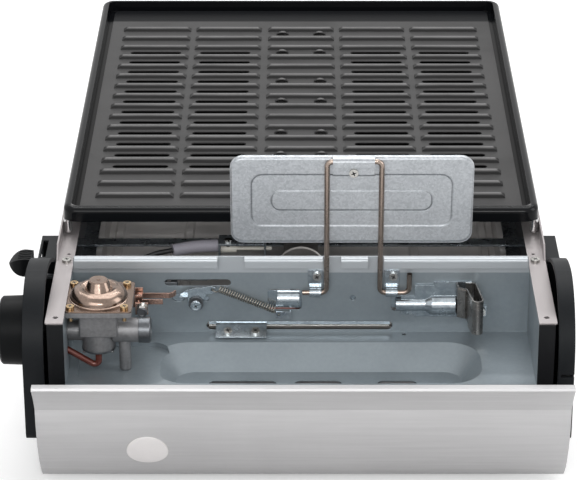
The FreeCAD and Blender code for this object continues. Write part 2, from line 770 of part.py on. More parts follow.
def gas_pipe():
    """Copper pipe from the regulator's foot, out through the side wall and back to the burner's jet."""
    x = number_of(regulator_x) - 0.8
    y = number_of(pipe_y)
    gap_x = -143.4
    points = [Vector(x, y, 77.1), Vector(x, y, 65.6), Vector(gap_x, y, 79.4), Vector(gap_x, 14, 79.4),
              Vector(-128, 20, 72), Vector(0, 20, 71), Vector(0, 20, 84)]
    path = bent_path_list(points, [2.7, 3, 6, 8, 6])
    node("gas_pipe", made(tube(path, 2)))


def bent_path_list(points, bends):
    """Like a bent wire, with a bend radius for each corner."""
    edges = []
    start = points[0]
    for before, corner, after, bend in zip(points, points[1:], points[2:], bends):
        into = (corner - before).normalize()
        out = (after - corner).normalize()
        half_turn = into.getAngle(out) / 2
        trim = bend * math.tan(half_turn)
        first = corner - into * trim
        last = corner + out * trim
        middle = corner + (out - into).normalize() * (bend / math.cos(half_turn) - bend)
        edges.append(Part.LineSegment(start, first).toShape())
        edges.append(Part.Arc(first, middle, last).toShape())
        start = last
    edges.append(Part.LineSegment(start, points[-1]).toShape())
    return Part.Wire(edges)


def burner():
    """A long tube burner with a flared mouth at the front and rows of flame ports along its sides."""
    z = size("burner_z", 90)
    tube_body = rod((0, 62, z), 11, 330, ALONG_Y)
    flare = revolve([(10, 0), (15, 0), (15.8, 1), (13.2, 6), (11, 12), (11, 26), (10, 26), (10, 12), (12, 6), (14, 1)],
                    (0, 38, z), Rotation(Vector(1, 0, 0), -90))
    bore = rod((0, 58, z), 10, 328, ALONG_Y)
    ports = []
    for index in range(14):
        ports.append(box((-12, 90 + 20 * index, z + 3), (12, 93 + 20 * index, z + 6)))
    node("burner_tube", cut(fuse(tube_body, flare), bore, *ports))
    jet = fuse(rod((0, 17.5, z), 4.5, 12, ALONG_Y), rod((0, 20, z - 7), 3.4, 7))
    node("gas_jet", cut(jet, rod((0, 20, z - 8), 2, 2)))
    # The burner lies in the saddles of two cross straps that reach the housing walls
    straps = []
    for place_y in (100, 372):
        strap = box((-housing_half + sheet_steel, place_y, z - 13), (housing_half - sheet_steel, place_y + 10, z - 11.8))
        saddle = box((-8, place_y, z - 12), (8, place_y + 10, z - 8))
        straps.append(cut(fuse(strap, saddle), rod((0, place_y - 2, z), 11, 14, ALONG_Y)))
    node("burner_straps", *straps)


def ignition():
    z = 100
    upright = box((-52, 46, 92), (-50.8, 60, 104))
    top = box((-52, 46, 102.8), (-22, 60, 104))
    leg = box((-23.2, 46, 84), (-22, 60, 104))
    bracket = cut(fuse(upright, top, leg), rod((-46, 50, 100), 1.3, 8), rod((-54, 53, 98), 2.6, 5, ALONG_X), rod((-26, 53, 98), 1.2, 5, ALONG_X))
    node("burner_bracket", bracket)
    bay_fasteners.append(screw(-46, 50, 104, 2.6, ALONG_Z, shank=3))
    sleeve = tube(bent_path([Vector(-52.5, 57, 98), Vector(-66, 56, 98), Vector(-81, 51, 97.5)], 60), 4)
    node("lead_sleeve", made(sleeve))
    lead = tube(bent_path([Vector(-81.2, 51, 97.5), Vector(-92, 48, 96.5), Vector(-100, 46, 94)], 16), 1.6)
    node("ignition_lead", made(lead))
    electrode = rod((-50.6, 53, 98), 1.2, 32, ALONG_X)
    node("electrode", fuse(electrode, rod((-50.6, 53, 98), 2.6, 10, ALONG_X)))


# Can pusher, latch and spring on the bay's back wall
def strip(points, thickness):
    """Corners of a bent strip of sheet: the points run along its middle line."""
    half = thickness / 2
    left = []
    right = []
    for index, point in enumerate(points):
        before = points[max(index - 1, 0)]
        after = points[min(index + 1, len(points) - 1)]
        into = Vector(point[0] - before[0], point[1] - before[1], 0)
        out = Vector(after[0] - point[0], after[1] - point[1], 0)
        into = into.normalize() if into.Length > 0 else Vector(out).normalize()
        out = out.normalize() if out.Length > 0 else Vector(into)
        way = (into + out).normalize()
        reach = half / way.dot(into)
        side = Vector(-way.y, way.x, 0) * reach
        left.append((point[0] + side.x, point[1] + side.y))
        right.append((point[0] - side.x, point[1] - side.y))
    return right + left[::-1]


def can_pusher():
    """The slider behind the wall with its half-tube forms, and the spring clip that meets the can."""
    steel = 1
    front = -0.3
    rear_bar = box((-92, 1.2, 82), (66, 1.2 + steel, 94))
    low_plate = box((61.5, front - steel, 78.6), (104.8, front, 90.6))
    high_plate = pad("XZ_Plane",
                     [(69.8, 77.2), (114, 77.2), (114.4, 78), (114.4, 84), (104.8, 84.6), (104.8, 100.9),
                      (81.6, 100.9), (81.6, 98.6), (69.8, 98.6)], steel, offset=-front)
    neck = box((61.5, front - steel, 82), (66, 2.2, 88.4))
    tab = box((-92, 1.2, 93), (-76, 13, 94))
    pin_slot = box((-85.6, 4.4, 90), (-82.4, 9.8, 97))
    bulge = cut(rod((-14.5, 1.8, 88.3), 5.4, 13.5, ALONG_X), box((-16, 1.8, 79), (0, 14, 98)),
                rod((-15, 1.8, 88.3), 5.4 - steel, 15, ALONG_X), box((-15.5, -6, 80), (-11.3, 1.1, 86.3)))
    window = box((-13.5, 0, 84), (-2, 4, 92.6))
    tube_y, tube_z = 0.9, 84.8
    narrow, wide = 4.4, 7
    stepped = fuse(rod((58.4, tube_y, tube_z), narrow, 18, ALONG_X), cone((76.4, tube_y, tube_z), narrow, wide, 4, ALONG_X),
                   rod((80.4, tube_y, tube_z), wide, 14.5, ALONG_X))
    inside = fuse(rod((58, tube_y, tube_z), narrow - steel, 18.6, ALONG_X),
                  cone((76.6, tube_y, tube_z), narrow - steel, wide - steel, 4, ALONG_X),
                  rod((80.6, tube_y, tube_z), wide - steel, 16, ALONG_X))
    behind = box((57, front, 70), (97, 14, 99))
    tail_hole = rod((110.8, -6, 80.6), 1.5, 8, ALONG_Y)
    slider = fuse(cut(fuse(rear_bar, tab), pin_slot, window), low_plate, high_plate, neck, bulge,
                  cut(stepped, inside, behind))
    node("can_slider", cut(slider, tail_hole))
    # The clip's strip runs from the plate round its left side to the roll in front, and back to the plate
    back = front - steel - 0.45
    roll_x, roll_y = 107, -24.8
    left_way = [(95.6, back), (96.3, -7.8), (101.3, -10.6), (roll_x - 3.15, roll_y)]
    right_way = [(roll_x + 3.15, roll_y), (107.4, -4), (106.6, back), (101, back)]
    roll = cut(rod((roll_x, roll_y, 78), 3.6, 22.4), rod((roll_x, roll_y, 77), 2.7, 25),
               box((roll_x - 2.6, roll_y, 77), (roll_x + 2.6, roll_y + 5, 102)))
    left_strip = pad("XY_Plane", strip(left_way, 0.9), 22.4, offset=78)
    right_strip = pad("XY_Plane", strip(right_way, 0.9), 22.4, offset=78)
    clip = fuse(left_strip, right_strip, roll)
    low_trim = box((94, -16, 76), (102.6, 0, 80.4))
    face_pad = box((-3.2, -1.5, 80.6), (2.2, -0.44, 99.6))
    pad_group = together(face_pad)
    pad_group.Placement = Placement(Vector(99.1, -9.1, 0), Rotation(Vector(0, 0, 1), -29.2))
    node("pusher_clip", fuse(cut(clip, low_trim), pad_group))
    node("pusher_screw", fuse(rod((110.8, front - steel, 80.6), 3.1, 1.7, FRONTWARD),
                              rod((110.8, front - steel, 80.6), 1.45, 0.95, ALONG_Y)))


def hexagon(start, radius, length):
    """A six-sided head that stands forward from its start."""
    prism = doc.addObject("Part::Prism", fresh("prism"))
    prism.Polygon = 6
    bind(prism, "Circumradius", radius)
    bind(prism, "Height", length)
    place(prism, start, FRONTWARD)
    return prism


def latch():
    """Latch lever on its bolt, pulled by the extension spring."""
    pivot = (-64.5, 87.3)
    plate = pad("XZ_Plane",
                [(-69.4, 85.6), (-67.2, 83.4), (pivot[0], 82.6), (-61.6, 84.2), (-60.6, 89), (-57.6, 93.2),
                 (-52.8, 94.4), (-52.2, 98), (-56, 98.9), (-61, 97.8), (-66, 97.4), (-71, 95.6), (-74.4, 93.2),
                 (-74.4, 92.2), (-69.8, 92)],
                1, offset=2.4)
    tab = box((-74.4, -6.4, 92.2), (-69.4, -2.4, 93.1))
    bore = rod((pivot[0], -6, pivot[1]), 2.45, 6, ALONG_Y)
    hook_hole = rod((hook_start.x, -6, hook_start.z), 1.05, 6, ALONG_Y)
    node("latch_lever", cut(fuse(plate, tab), bore, hook_hole))
    washer = rod((pivot[0], -2.3, pivot[1]), 4.2, 2.3, ALONG_Y)
    stem = rod((pivot[0], -5.6, pivot[1]), 2.4, 3.6, ALONG_Y)
    head = hexagon((pivot[0], -5.5, pivot[1]), 2.9, 1.7)
    lock_ring = cut(rod((pivot[0], -4.7, pivot[1]), 4.6, 0.8, ALONG_Y), rod((pivot[0], -6, pivot[1]), 2.4, 3, ALONG_Y))
    node("latch_bolt", fuse(washer, stem, head, lock_ring))
    lug = pad("XZ_Plane", [(hook_end.x - 1.8, 77.2), (-6, 76.4), (-6, 81), (hook_end.x - 1.8, 81.4)], 1, offset=2.4)
    leg = box((-7, -3.4, 76.4), (-6, 0, 81))
    lug_hole = rod((hook_end.x, -6, hook_end.z), 1.05, 6, ALONG_Y)
    node("spring_lug", cut(fuse(lug, leg), lug_hole))


hook_start = Vector(-54.4, -2.9, 96.4)
hook_end = Vector(-13.6, -2.9, 79.2)
spring_curls = 24
spring_wire = size("spring_wire", 0.4)
spring_mean = size("spring_mean", 2)
hook_radius = 1.7


def arc_edge(start, way, end):
    """The arc that leaves start in a given direction and reaches end."""
    chord = end - start
    side = chord - way * chord.dot(way)
    radius = chord.dot(chord) / (2 * side.Length)
    centre = start + side.normalize() * radius
    middle = centre + ((start - centre) + (end - centre)).normalize() * radius
    return Part.Arc(start, middle, end).toShape()


def latch_spring():
    """One unbroken extension spring: a hook, the curls and a hook, as arcs joined end to end."""
    axis = (hook_end - hook_start).normalize()
    depth = Vector(0, -1, 0)
    side = axis.cross(depth).normalize()
    mean = spring_mean.number
    # Each hook stands on the side of the coil, so the coil's axis lies beside the line between the holes
    start = hook_start + axis * (2 * hook_radius) - side * mean
    end = hook_end - axis * (2 * hook_radius) - side * mean
    length = (end - start).dot(axis)
    turn_count = spring_curls
    pitch = length / turn_count
    slope = math.atan2(pitch, 2 * math.pi * mean)

    def on_coil(turn):
        angle = 2 * math.pi * turn
        return start + axis * (pitch * turn) + (side * math.cos(angle) + depth * math.sin(angle)) * mean

    def along_coil(turn):
        angle = 2 * math.pi * turn
        round_way = depth * math.cos(angle) - side * math.sin(angle)
        return (round_way * math.cos(slope) + axis * math.sin(slope)).normalize()

    edges = []
    points = []
    quarter_count = turn_count * 4
    for quarter in range(quarter_count):
        first, last = quarter / 4, (quarter + 1) / 4
        head, tail = on_coil(first), on_coil(last)
        head_way, tail_way = along_coil(first), along_coil(last)
        gap = tail - head
        both = head_way + tail_way
        spread = 2 * (1 - head_way.dot(tail_way))
        reach = (-gap.dot(both) + math.sqrt(gap.dot(both) ** 2 + spread * gap.dot(gap))) / spread
        joint = (head + tail + (head_way - tail_way) * reach) * 0.5
        edges.append(arc_edge(head, head_way, joint))
        edges.append(arc_edge(tail, -tail_way, joint))
        for step in range(6):
            points.append(on_coil(first + step / 24))
    front_hook = hook_arcs(on_coil(0), -along_coil(0), -axis)
    back_hook = hook_arcs(on_coil(turn_count), along_coil(turn_count), axis)
    path = Part.Wire(Part.__sortEdges__(front_hook + edges + back_hook))
    print(f"spring: {turn_count} curls, pitch {pitch:.2f}, least gap {least_gap(points, 24):.2f} mm")
    node("latch_spring", made(tube(path, spring_wire.number)))


def hook_arcs(start, way, outward):
    """Two arcs of a hook: it leaves the coil in its own direction and turns back on itself."""
    flat = (way - outward * way.dot(outward)).normalize()
    centre = start + outward * hook_radius
    far = start + outward * (2 * hook_radius)
    quarter = centre + flat * hook_radius
    first = arc_edge(start, way, quarter)
    last_angle = math.radians(55)
    tip = centre - flat * (hook_radius * math.cos(last_angle)) + outward * (hook_radius * math.sin(last_angle))
    second_way = end_way(start, way, quarter)
    second = arc_edge(quarter, second_way, far)
    third = arc_edge(far, end_way(quarter, second_way, far), tip)
    return [first, second, third]


def end_way(start, way, end):
    """Direction at the end of the arc that leaves start in the given direction."""
    chord = (end - start).normalize()
    return (chord * (2 * chord.dot(way)) - way).normalize()


def least_gap(points, per_turn):
    """Least distance between the wire's surfaces of curls beside each other."""
    least = 1e9
    for index, point in enumerate(points):
        for other in range(index + per_turn // 2, min(index + per_turn * 2, len(points))):
            least = min(least, point.distanceToPoint(points[other]))
    return least - 2 * spring_wire.number


def trip():
    """Copper trip lever between the regulator and the latch, on its bracket and bolt."""
    pivot = (-98.4, 99.4)
    back = box((-97, -17.4, 97.6), (-80, -16.6, 101))
    front = box((-97, -25, 97.2), (-83.6, -24.2, 100.4))
    web = box((-97.8, -25, 97.2), (-96.2, -16.6, 101.4))
    tip = pad("XY_Plane", strip([(-80.2, -17), (-78, -15.6), (-76.4, -13)], 0.8), 3.4, offset=97.6)
    eye = rod((pivot[0], -24.6, pivot[1]), 2.3, 7.6, ALONG_Y)
    bore = rod((pivot[0], -28, pivot[1]), 1.25, 14, ALONG_Y)
    node("trip_lever", cut(fuse(back, front, web, tip, eye), bore))
    cheeks = [box((-101.6, y, 96), (-96, y + 1, 104)) for y in (-26.6, -16.2)]
    base = box((-101.6, -26.6, 103.2), (-100.6, -15.2, 104))
    spine = box((-101.6, -26.6, 96), (-100.8, -15.2, 104))
    fixed = cut(fuse(*cheeks, base, spine), rod((pivot[0], -30, pivot[1]), 1.2, 18, ALONG_Y))
    pin = rod((pivot[0], -27.4, pivot[1]), 1.2, 13, ALONG_Y)
    bolt = fuse(rod((-95.6, -31.5, 98), 2.6, 3.6, FRONTWARD), rod((-95.6, -30.4, 98), 3.4, 1.2, FRONTWARD))
    hex_head = hexagon((-95.6, -34.6, 98), 3.3, 2.6)
    ear = box((-100, -31.5, 93.6), (-92.2, -30.4, 101.2))
    node("trip_bolt", fuse(bolt, hex_head))
    ear = cut(ear, rod((-95.6, -36, 98), 3.4, 8, ALONG_Y))
    node("trip_bracket", fuse(fixed, pin), ear)


def lock_lever():
    """Bell-crank behind the wall: the handle outside swings back and draws the slider to the left."""
    low = 99.8
    high = 101.3
    pivot_x, pivot_y = -84, 27
    crank_y = 7
    plate = pad("XY_Plane",
                [(-159.4, 4.4), (-100, 14), (-88, 3.4), (-58, 2.6), (-55, 5), (-58, 8), (-77, 12),
                 (-76.5, 27), (-80, 34), (-88, 34), (-92, 26), (-159.4, 12.4)],
                high - low, offset=low)
    riser = box((-159.4, 4.4, low), (-157.9, 12.4, 107))
    stalk = box((-168, 4.4, 105.5), (-157.9, 12.4, 107))
    plate = cut(plate, rod((pivot_x, pivot_y, low - 1), 2.55, 4))
    crank_pin = rod((pivot_x, crank_y, 92.4), 1.5, low + 0.5 - 92.4)
    node("lock_lever", fuse(plate, riser, stalk, crank_pin))
    plan = pad("XY_Plane",
               [(-164.8, 1.4), (-164.8, 15.4), (-170, 15.8, 9), (-179.6, 8.4, 9), (-170, 1)], 16, offset=101)
    side = pad("XZ_Plane",
               [(-179.6, 109, 12), (-169, 103.2), (-164.8, 103.4), (-164.8, 114.4), (-169, 114.8, 12)],
               22, offset=-20)
    grooves = [box((-175.4, 2.9 + 2.4 * step, 113.9), (-165.6, 4 + 2.4 * step, 116)) for step in range(5)]
    socket = box((-168, 4.4, 105.5), (-163, 12.4, 107))
    node("lock_handle", cut(common(plan, side), socket, *grooves))
    post = fuse(rod((pivot_x, pivot_y, 97), 2.5, 5.2), rod((pivot_x, pivot_y, 101.6), 4.4, 1.4))
    node("lever_post", post)
    shelf = box((-92, 0.8, 98), (-76, 33, 99.2))
    down = box((-92, 0.8, 95.2), (-76, 1.6 - 0.6, 99.2))
    hole = rod((pivot_x, pivot_y, 95), 2.5, 6)
    relief = box((-90.4, 2.6, 96), (-80, 12, 100))
    node("lever_bracket", cut(fuse(shelf, down), hole, relief))


# Wire frame and its plate
def lean(shape):
    """Leans a piece forward about the wire's hinge line."""
    group = together(shape)
    centre = Vector(0, number_of(wire_y), number_of(wire_z))
    group.Placement = Placement(Vector(0, 0, 0), Rotation(Vector(1, 0, 0), shield_tilt), centre)
    return group


def shield():
    y, z = number_of(wire_y), number_of(wire_z)
    radius = number_of(wire_radius)
    left_leg, right_leg = 15.6, 48.3
    top = z + 93
    points = [Vector(0.8, y, z), Vector(left_leg, y, z), Vector(left_leg, y, top), Vector(right_leg, y, top),
              Vector(right_leg, y, z), Vector(66.3, y, z), Vector(66.3, y, z + 13.5)]
    wire = tube(bent_path(points, 3.6), radius)
    node("shield_wire", lean(made(wire)))
    face = y + radius + 0.15
    low, high = z + 35, z + 95
    plate = pad("XZ_Plane", round_rectangle((-42.5, low), (103.5, high), size("shield_round", 8)), 0.8, offset=-face - 0.8)
    edge = cut(pad("XZ_Plane", round_rectangle((-42.5, low), (103.5, high), 8), 2.6, offset=-face - 2.6),
               pad("XZ_Plane", round_rectangle((-41.7, low + 0.8), (102.7, high - 0.8), 7.2), 4, offset=-face - 3.4))
    grooves = []
    for inset, across, up, radius_out in ((0, -30.5, 11.5, 7), (1, -18.5, 22.5, 6)):
        left, right = across, 61 - across
        outer = round_rectangle((left, low + up), (right, high - up), radius_out)
        inner = round_rectangle((left + 1.3, low + up + 1.3), (right - 1.3, high - up - 1.3), radius_out - 1.3)
        grooves.append(cut(pad("XZ_Plane", outer, 1, offset=-face - 0.3),
                           pad("XZ_Plane", inner, 3, offset=-face - 1)))
    node("shield_plate", lean(cut(fuse(plate, edge), *grooves)))
    saddle = cut(box((19, y - radius - 1, top - 3), (44, face, top + 3.2)),
                 rod((10, y, top), radius + 0.05, 50, ALONG_X))
    flap = box((19, face - 1, top - 12), (44, face, top - 2))
    screw_hole = rod((31.5, face - 3, top - 8), 1.5, 4, ALONG_Y)
    node("shield_clamp", lean(cut(fuse(saddle, flap), screw_hole)))
    head = fuse(rod((31.5, face - 1, top - 8), 2.8, 1.5, FRONTWARD), rod((31.5, face - 1, top - 8), 1.5, 1, ALONG_Y))
    node("clamp_screw", lean(head))


def wire_clips():
    """Two sheet clips that hold the frame's pins against the wall, each with a screw."""
    y, z = number_of(wire_y), number_of(wire_z)
    clips = []
    heads = []
    for middle in (8.8, 55.6):
        tongue = box((middle - 4.6, -1, z + 3), (middle + 4.6, 0, z + 14))
        half = 3.6
        wrap = cut(rod((middle - half, y, z), number_of(wire_radius) + 1.05, 2 * half, ALONG_X),
                   rod((middle - half - 1, y, z), number_of(wire_radius) + 0.05, 2 * half + 2, ALONG_X))
        back = cut(box((middle - half, y, z - 2.65), (middle + half, 0, z + 4)),
                   rod((middle - half - 1, y, z), number_of(wire_radius) + 0.5, 2 * half + 2, ALONG_X))
        clip = fuse(tongue, back, wrap)
        clips.append(cut(clip, rod((middle + 1, -4, z + 10), 1.4, 6, ALONG_Y)))
        heads.append(screw(middle + 1, -1, z + 10, 2.6, FRONTWARD, shank=0.95, head_height=1.6))
    node("wire_clips", *clips)
    bay_fasteners.extend(heads)


def slot_bracket():
    """Tilted bracket at the foot of the wall, its two screws, and the blade it holds behind the slot."""
    middle = [(2.6, 71.2), (-1.2, 71.2), (-10.6, 66.9)]
    plate = pad("YZ_Plane", strip(middle, 0.9), 31.4, offset=-52.6)
    blade = box((-57, 1.6, 70.2), (55, 2.4, 72.2))
    tilt = Rotation(Vector(1, 0, 0), math.degrees(math.atan2(4.3, 9.4)))
    heads = []
    for x in (-45, -28):
        group = together(screw(0, 0, 0.46, 2.6, ALONG_Z, shank=0.4, head_height=1.5))
        group.Placement = Placement(Vector(x, -6.4, 68.85), tilt)
        heads.append(group)
    node("slot_bracket", cut(fuse(plate, blade), *heads))
    bay_fasteners.extend(heads)


# Grill plate
def grill_plate():
    half = plate_width / 2
    back = plate_front + plate_depth
    top = rim_top
    skirt_low = top - rim_skirt
    floor_low = top - basin_depth - plate_floor
    field_top = top - basin_depth + field_rise
    body = pad("XY_Plane", round_rectangle((-half, plate_front), (half, back), size("plate_round", 9)),
               rim_skirt, offset=skirt_low)
    inner_front = plate_front + rim_width
    pocket(body, "XY_Plane",
           round_rectangle((-half + rim_width, inner_front), (half - rim_width, back - rim_width), size("basin_round", 5)),
           basin_depth, offset=top, reversed_way=False)
    under = plate_front + rim_wall
    channel_low = pad("XY_Plane", round_rectangle((-half + rim_wall, under), (half - rim_wall, back - rim_wall),
                                                  size("channel_round", 7.8)),
                      rim_skirt - rim_roof, offset=skirt_low - 0.001)
    keep = pad("XY_Plane",
               round_rectangle((-half + rim_width - rim_wall, inner_front - rim_wall),
                               (half - rim_width + rim_wall, back - rim_width + rim_wall), size("inner_round", 5.8)),
               rim_skirt + 2, offset=skirt_low - 1)
    outer_line = (half.number, plate_front.number, back.number)
    body = rounded(body, rim_round, lambda a, b: on_rim(a, *outer_line) and on_rim(b, *outer_line))
    shell = cut(body, cut(channel_low, keep))
    below = pad("XY_Plane",
                round_rectangle((-half + rim_width, inner_front), (half - rim_width, back - rim_width), 5),
                basin_depth, offset=floor_low - basin_depth)
    shell = cut(shell, below)
    moat = rim_width + moat_width
    field = pad("XY_Plane",
                round_rectangle((-half + moat, plate_front + moat), (half - moat, back - moat), size("field_round", 6)),
                field_rise + plate_floor, offset=floor_low)
    ridges = []
    for left, right in ((-130.5, -81), (-77, -29), (-24, 24), (28, 76), (80, 129.5)):
        ridges.append(ridge_column(left, right, field_top))
    slots = []
    for left in (-123, -73, 35.6, 84.8):
        slots.append(slot_column(left, field_top))
    hoods = []
    mouths = []
    for gap in (0, 2, 5, 7, 10, 12, 15):
        for side in (-1, 1):
            hood, mouth = hood_pair(side * 13.5, number_of(ridge_first) + 0.8 + (15.5 - gap) * number_of(ridge_pitch), field_top)
            hoods.append(hood)
            mouths.append(mouth)
    node("grill_plate", cut(fuse(shell, field, *ridges, *hoods), *slots, *mouths))


def on_rim(point, half, front, back):
    """True for a point on the plate's outer line, at its top."""
    if abs(point.z - rim_top.number) > 1e-3:
        return False
    near_side = abs(abs(point.x) - half) < 1e-3
    near_end = min(abs(point.y - front), abs(point.y - back)) < 1e-3
    return near_side or near_end


def ridge_column(left, right, field_top):
    """One column of pressed ridges: a low round bar with sloped ends, repeated along the plate."""
    body = new_body()
    height = number_of(ridge_height)
    half_width = number_of(ridge_width) / 2
    radius = (half_width ** 2 + height ** 2) / (2 * height)
    first = number_of(ridge_first)
    level = number_of(field_top)
    add = body.newObject("PartDesign::Pad", fresh("ridge"))
    add.Profile = outline(body, "YZ_Plane", [(first - half_width, level), (first + half_width, level, radius)], left)
    add.Length = right - left
    ends = outline(body, "XZ_Plane", [(left - 1, level), (left + 3, level + 2.6), (left - 1, level + 2.6)],
                   -first - half_width - 1)
    trim = body.newObject("PartDesign::Pocket", fresh("trim"))
    trim.Profile = ends
    trim.Length = ridge_width.number + 2
    trim.Reversed = True
    other = outline(body, "XZ_Plane", [(right + 1, level), (right + 1, level + 2.6), (right - 3, level + 2.6)],
                    -first - half_width - 1)
    trim_other = body.newObject("PartDesign::Pocket", fresh("trim"))
    trim_other.Profile = other
    trim_other.Length = ridge_width.number + 2
    trim_other.Reversed = True
    doc.recompute()
    return repeated(body, ridge_rows, ridge_pitch)


def repeated(body, times, pitch):
    """Copies of one shape at equal steps along the depth, as one group."""
    copies = [body]
    for step in range(1, times):
        link = doc.addObject("Part::Feature", fresh("copy"))
        link.Shape = body.Shape
        link.Placement = Placement(Vector(0, step * number_of(pitch), 0), Rotation())
        copies.append(link)
    return together(*copies)


def slot_column(left, field_top):
    """A column of drain slots in the valleys between ridges."""
    middle = ridge_first + ridge_pitch * 2.5 + 0.8
    half = slot_width / 2
    body = pad("XY_Plane", slot_outline((left, middle - half), (left + slot_length, middle + half)),
               10, offset=field_top - 8)
    doc.recompute()
    return repeated(body, slot_rows, ridge_pitch)


def hood_pair(x, y, field_top):
    """A half-moon hood, open to the front, and the mouth under it."""
    level = number_of(field_top)
    height = 2.4
    half = 4.8
    radius = (half ** 2 + height ** 2) / (2 * height)
    front_cut = box((x - 9, y - 20, level - 12), (x + 9, y - 1.4, level + 12))
    low_cut = box((x - 20, y - 20, level - 30), (x + 20, y + 20, level - 0.2))
    dome = cut(ball((x, y, level + height - radius), radius), front_cut, low_cut)
    mouth_form = cut(ball((x, y, level + height - radius), radius - 0.8), box((x - 9, y - 20, level - 12), (x + 9, y - 1.5, level + 12)),
                     box((x - 20, y - 20, level - 30), (x + 20, y + 20, level - 0.3)))
    opening = box((x - 3.4, y - 1.4, level - 6), (x + 3.4, y + 0.6, level + 0.6))
    return dome, fuse(mouth_form, opening)


def plate_feet():
    """Chrome pegs under the plate's corners, each with a short strut."""
    pegs = []
    top = number_of(rim_top)
    shelf = number_of(rail_top)
    front_y = number_of(plate_front) + 5.6
    rear_y = number_of(plate_front) + number_of(plate_depth) - 18
    for side in (-1, 1):
        for y, stem_x in ((front_y, 145.8), (rear_y, 146.4)):
            x = side * 146.2
            peg = fuse(rod((x, y, shelf + 2.8), 2.8, top - 9 - shelf - 2.8), rod((side * stem_x, y, top - 10), 0.8, 6),
                       ball((x, y, shelf + 2.8), 2.8))
            pegs.append(cut(peg, box((x - 4, y - 4, shelf - 2), (x + 4, y + 4, shelf + 0.05))))
    node("plate_feet", *pegs)


# Drip tray and what it slides on
def drip_tray():
    wall = sheet_steel
    back = housing_back + 0.4
    shell = cut(box((-tray_half, tray_front, tray_low), (tray_half, back, tray_high)),
                box((-tray_half + wall, tray_front + wall, tray_low + wall), (tray_half - wall, back - wall, tray_high + 5)))
    ribs = []
    for x in (-122, -75, 75, 122):
        rib = pad("XZ_Plane", [(x - 3.5, tray_low + wall), (x + 3.5, tray_low + wall), (x + 2, tray_low + wall + 1.4),
                               (x - 2, tray_low + wall + 1.4)], 372, offset=-412)
        ribs.append(rib)
    rim_left = box((-tray_half - 3, tray_front, tray_high - wall), (-tray_half + 0.4, back - 6, tray_high))
    rim_front = box((-tray_half, tray_front - 2, tray_high - wall), (tray_half, tray_front + 0.4, tray_high))
    node("drip_tray", fuse(shell, *ribs, rim_left, mirrored(rim_left), rim_front))
    panel = pad("XZ_Plane", round_rectangle((-137, 50), (137, 86), 5), 1.4, offset=-(back.number + 1.4))
    grip = pad("YZ_Plane", strip([(back.number + 0.7, 84.6), (back.number + 0.7, 79), (back.number + 3.4, 75)], 1.2),
               90, offset=-45)
    grip_body = box((-45, back + 1.4, 71), (45, back + 8, 73))
    node("tray_front", fuse(panel, grip_body))
    runner = box((tray_half - 8, tray_front + 6, tray_low - 1.6), (housing_half - sheet_steel, housing_back - 8, tray_low - 0.4))
    guide = box((tray_half + 4.4, tray_front + 6, tray_low - 1), (tray_half + 5.4, housing_back - 8, tray_low + 9))
    rail = fuse(runner, guide)
    node("tray_runners", rail, mirrored(rail))


def feet():
    legs = []
    pads = []
    for x in (-118, 118):
        for y in (-42, 396):
            legs.append(fuse(cone((x, y, 3), 10, 13, housing_floor - 3), rod((x, y, 3), 11.5, 3)))
            pads.append(revolve([(0, 0), (9, 0), (10.5, 1.2), (10.5, 3), (0, 3)], (x, y, 0)))
    node("feet", *legs)
    node("foot_pads", *pads)


floor_plate()
housing_walls()
rails()
bay_pan()
cover_hardware(front_cover(badge()))
side_covers()
corner_posts()
knob()
regulator()
gas_pipe()
burner()
ignition()
can_pusher()
latch()
latch_spring()
trip()
lock_lever()
shield()
wire_clips()
slot_bracket()
grill_plate()
plate_feet()
drip_tray()
feet()
node("bay_fasteners", *bay_fasteners)
doc.recompute()

faulty = [item.Name for item in doc.Objects if "Invalid" in item.State or "Error" in item.State]
if faulty:
    raise RuntimeError(f"objects that failed: {faulty}")
for piece in nodes:
    if piece.Shape.isNull() or not piece.Shape.isValid():
        raise RuntimeError(f"{piece.Label} has no valid shape")
    if not piece.Shape.Solids:
        raise RuntimeError(f"{piece.Label} holds no solid")

os.makedirs("parts", exist_ok=True)
for piece in nodes:
    piece.Shape.exportStep(f"parts/{piece.Label}.step")
whole = Part.makeCompound([piece.Shape for piece in nodes])
limits = whole.BoundBox
print(f"{len(nodes)} sub-parts, X {limits.XMin:.2f} to {limits.XMax:.2f}, "
      f"Y {limits.YMin:.2f} to {limits.YMax:.2f}, Z {limits.ZMin:.2f} to {limits.ZMax:.2f}")
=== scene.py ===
# %% [markdown]
# # A portable gas plancha, dressed
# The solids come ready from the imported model. This notebook gives every sheet, casting and
# coating its finish, adds the small turned and pressed details that are better made as
# surfaces, and lights the whole as in a plain product picture.

# %% Load the model and note its size
import json
import math

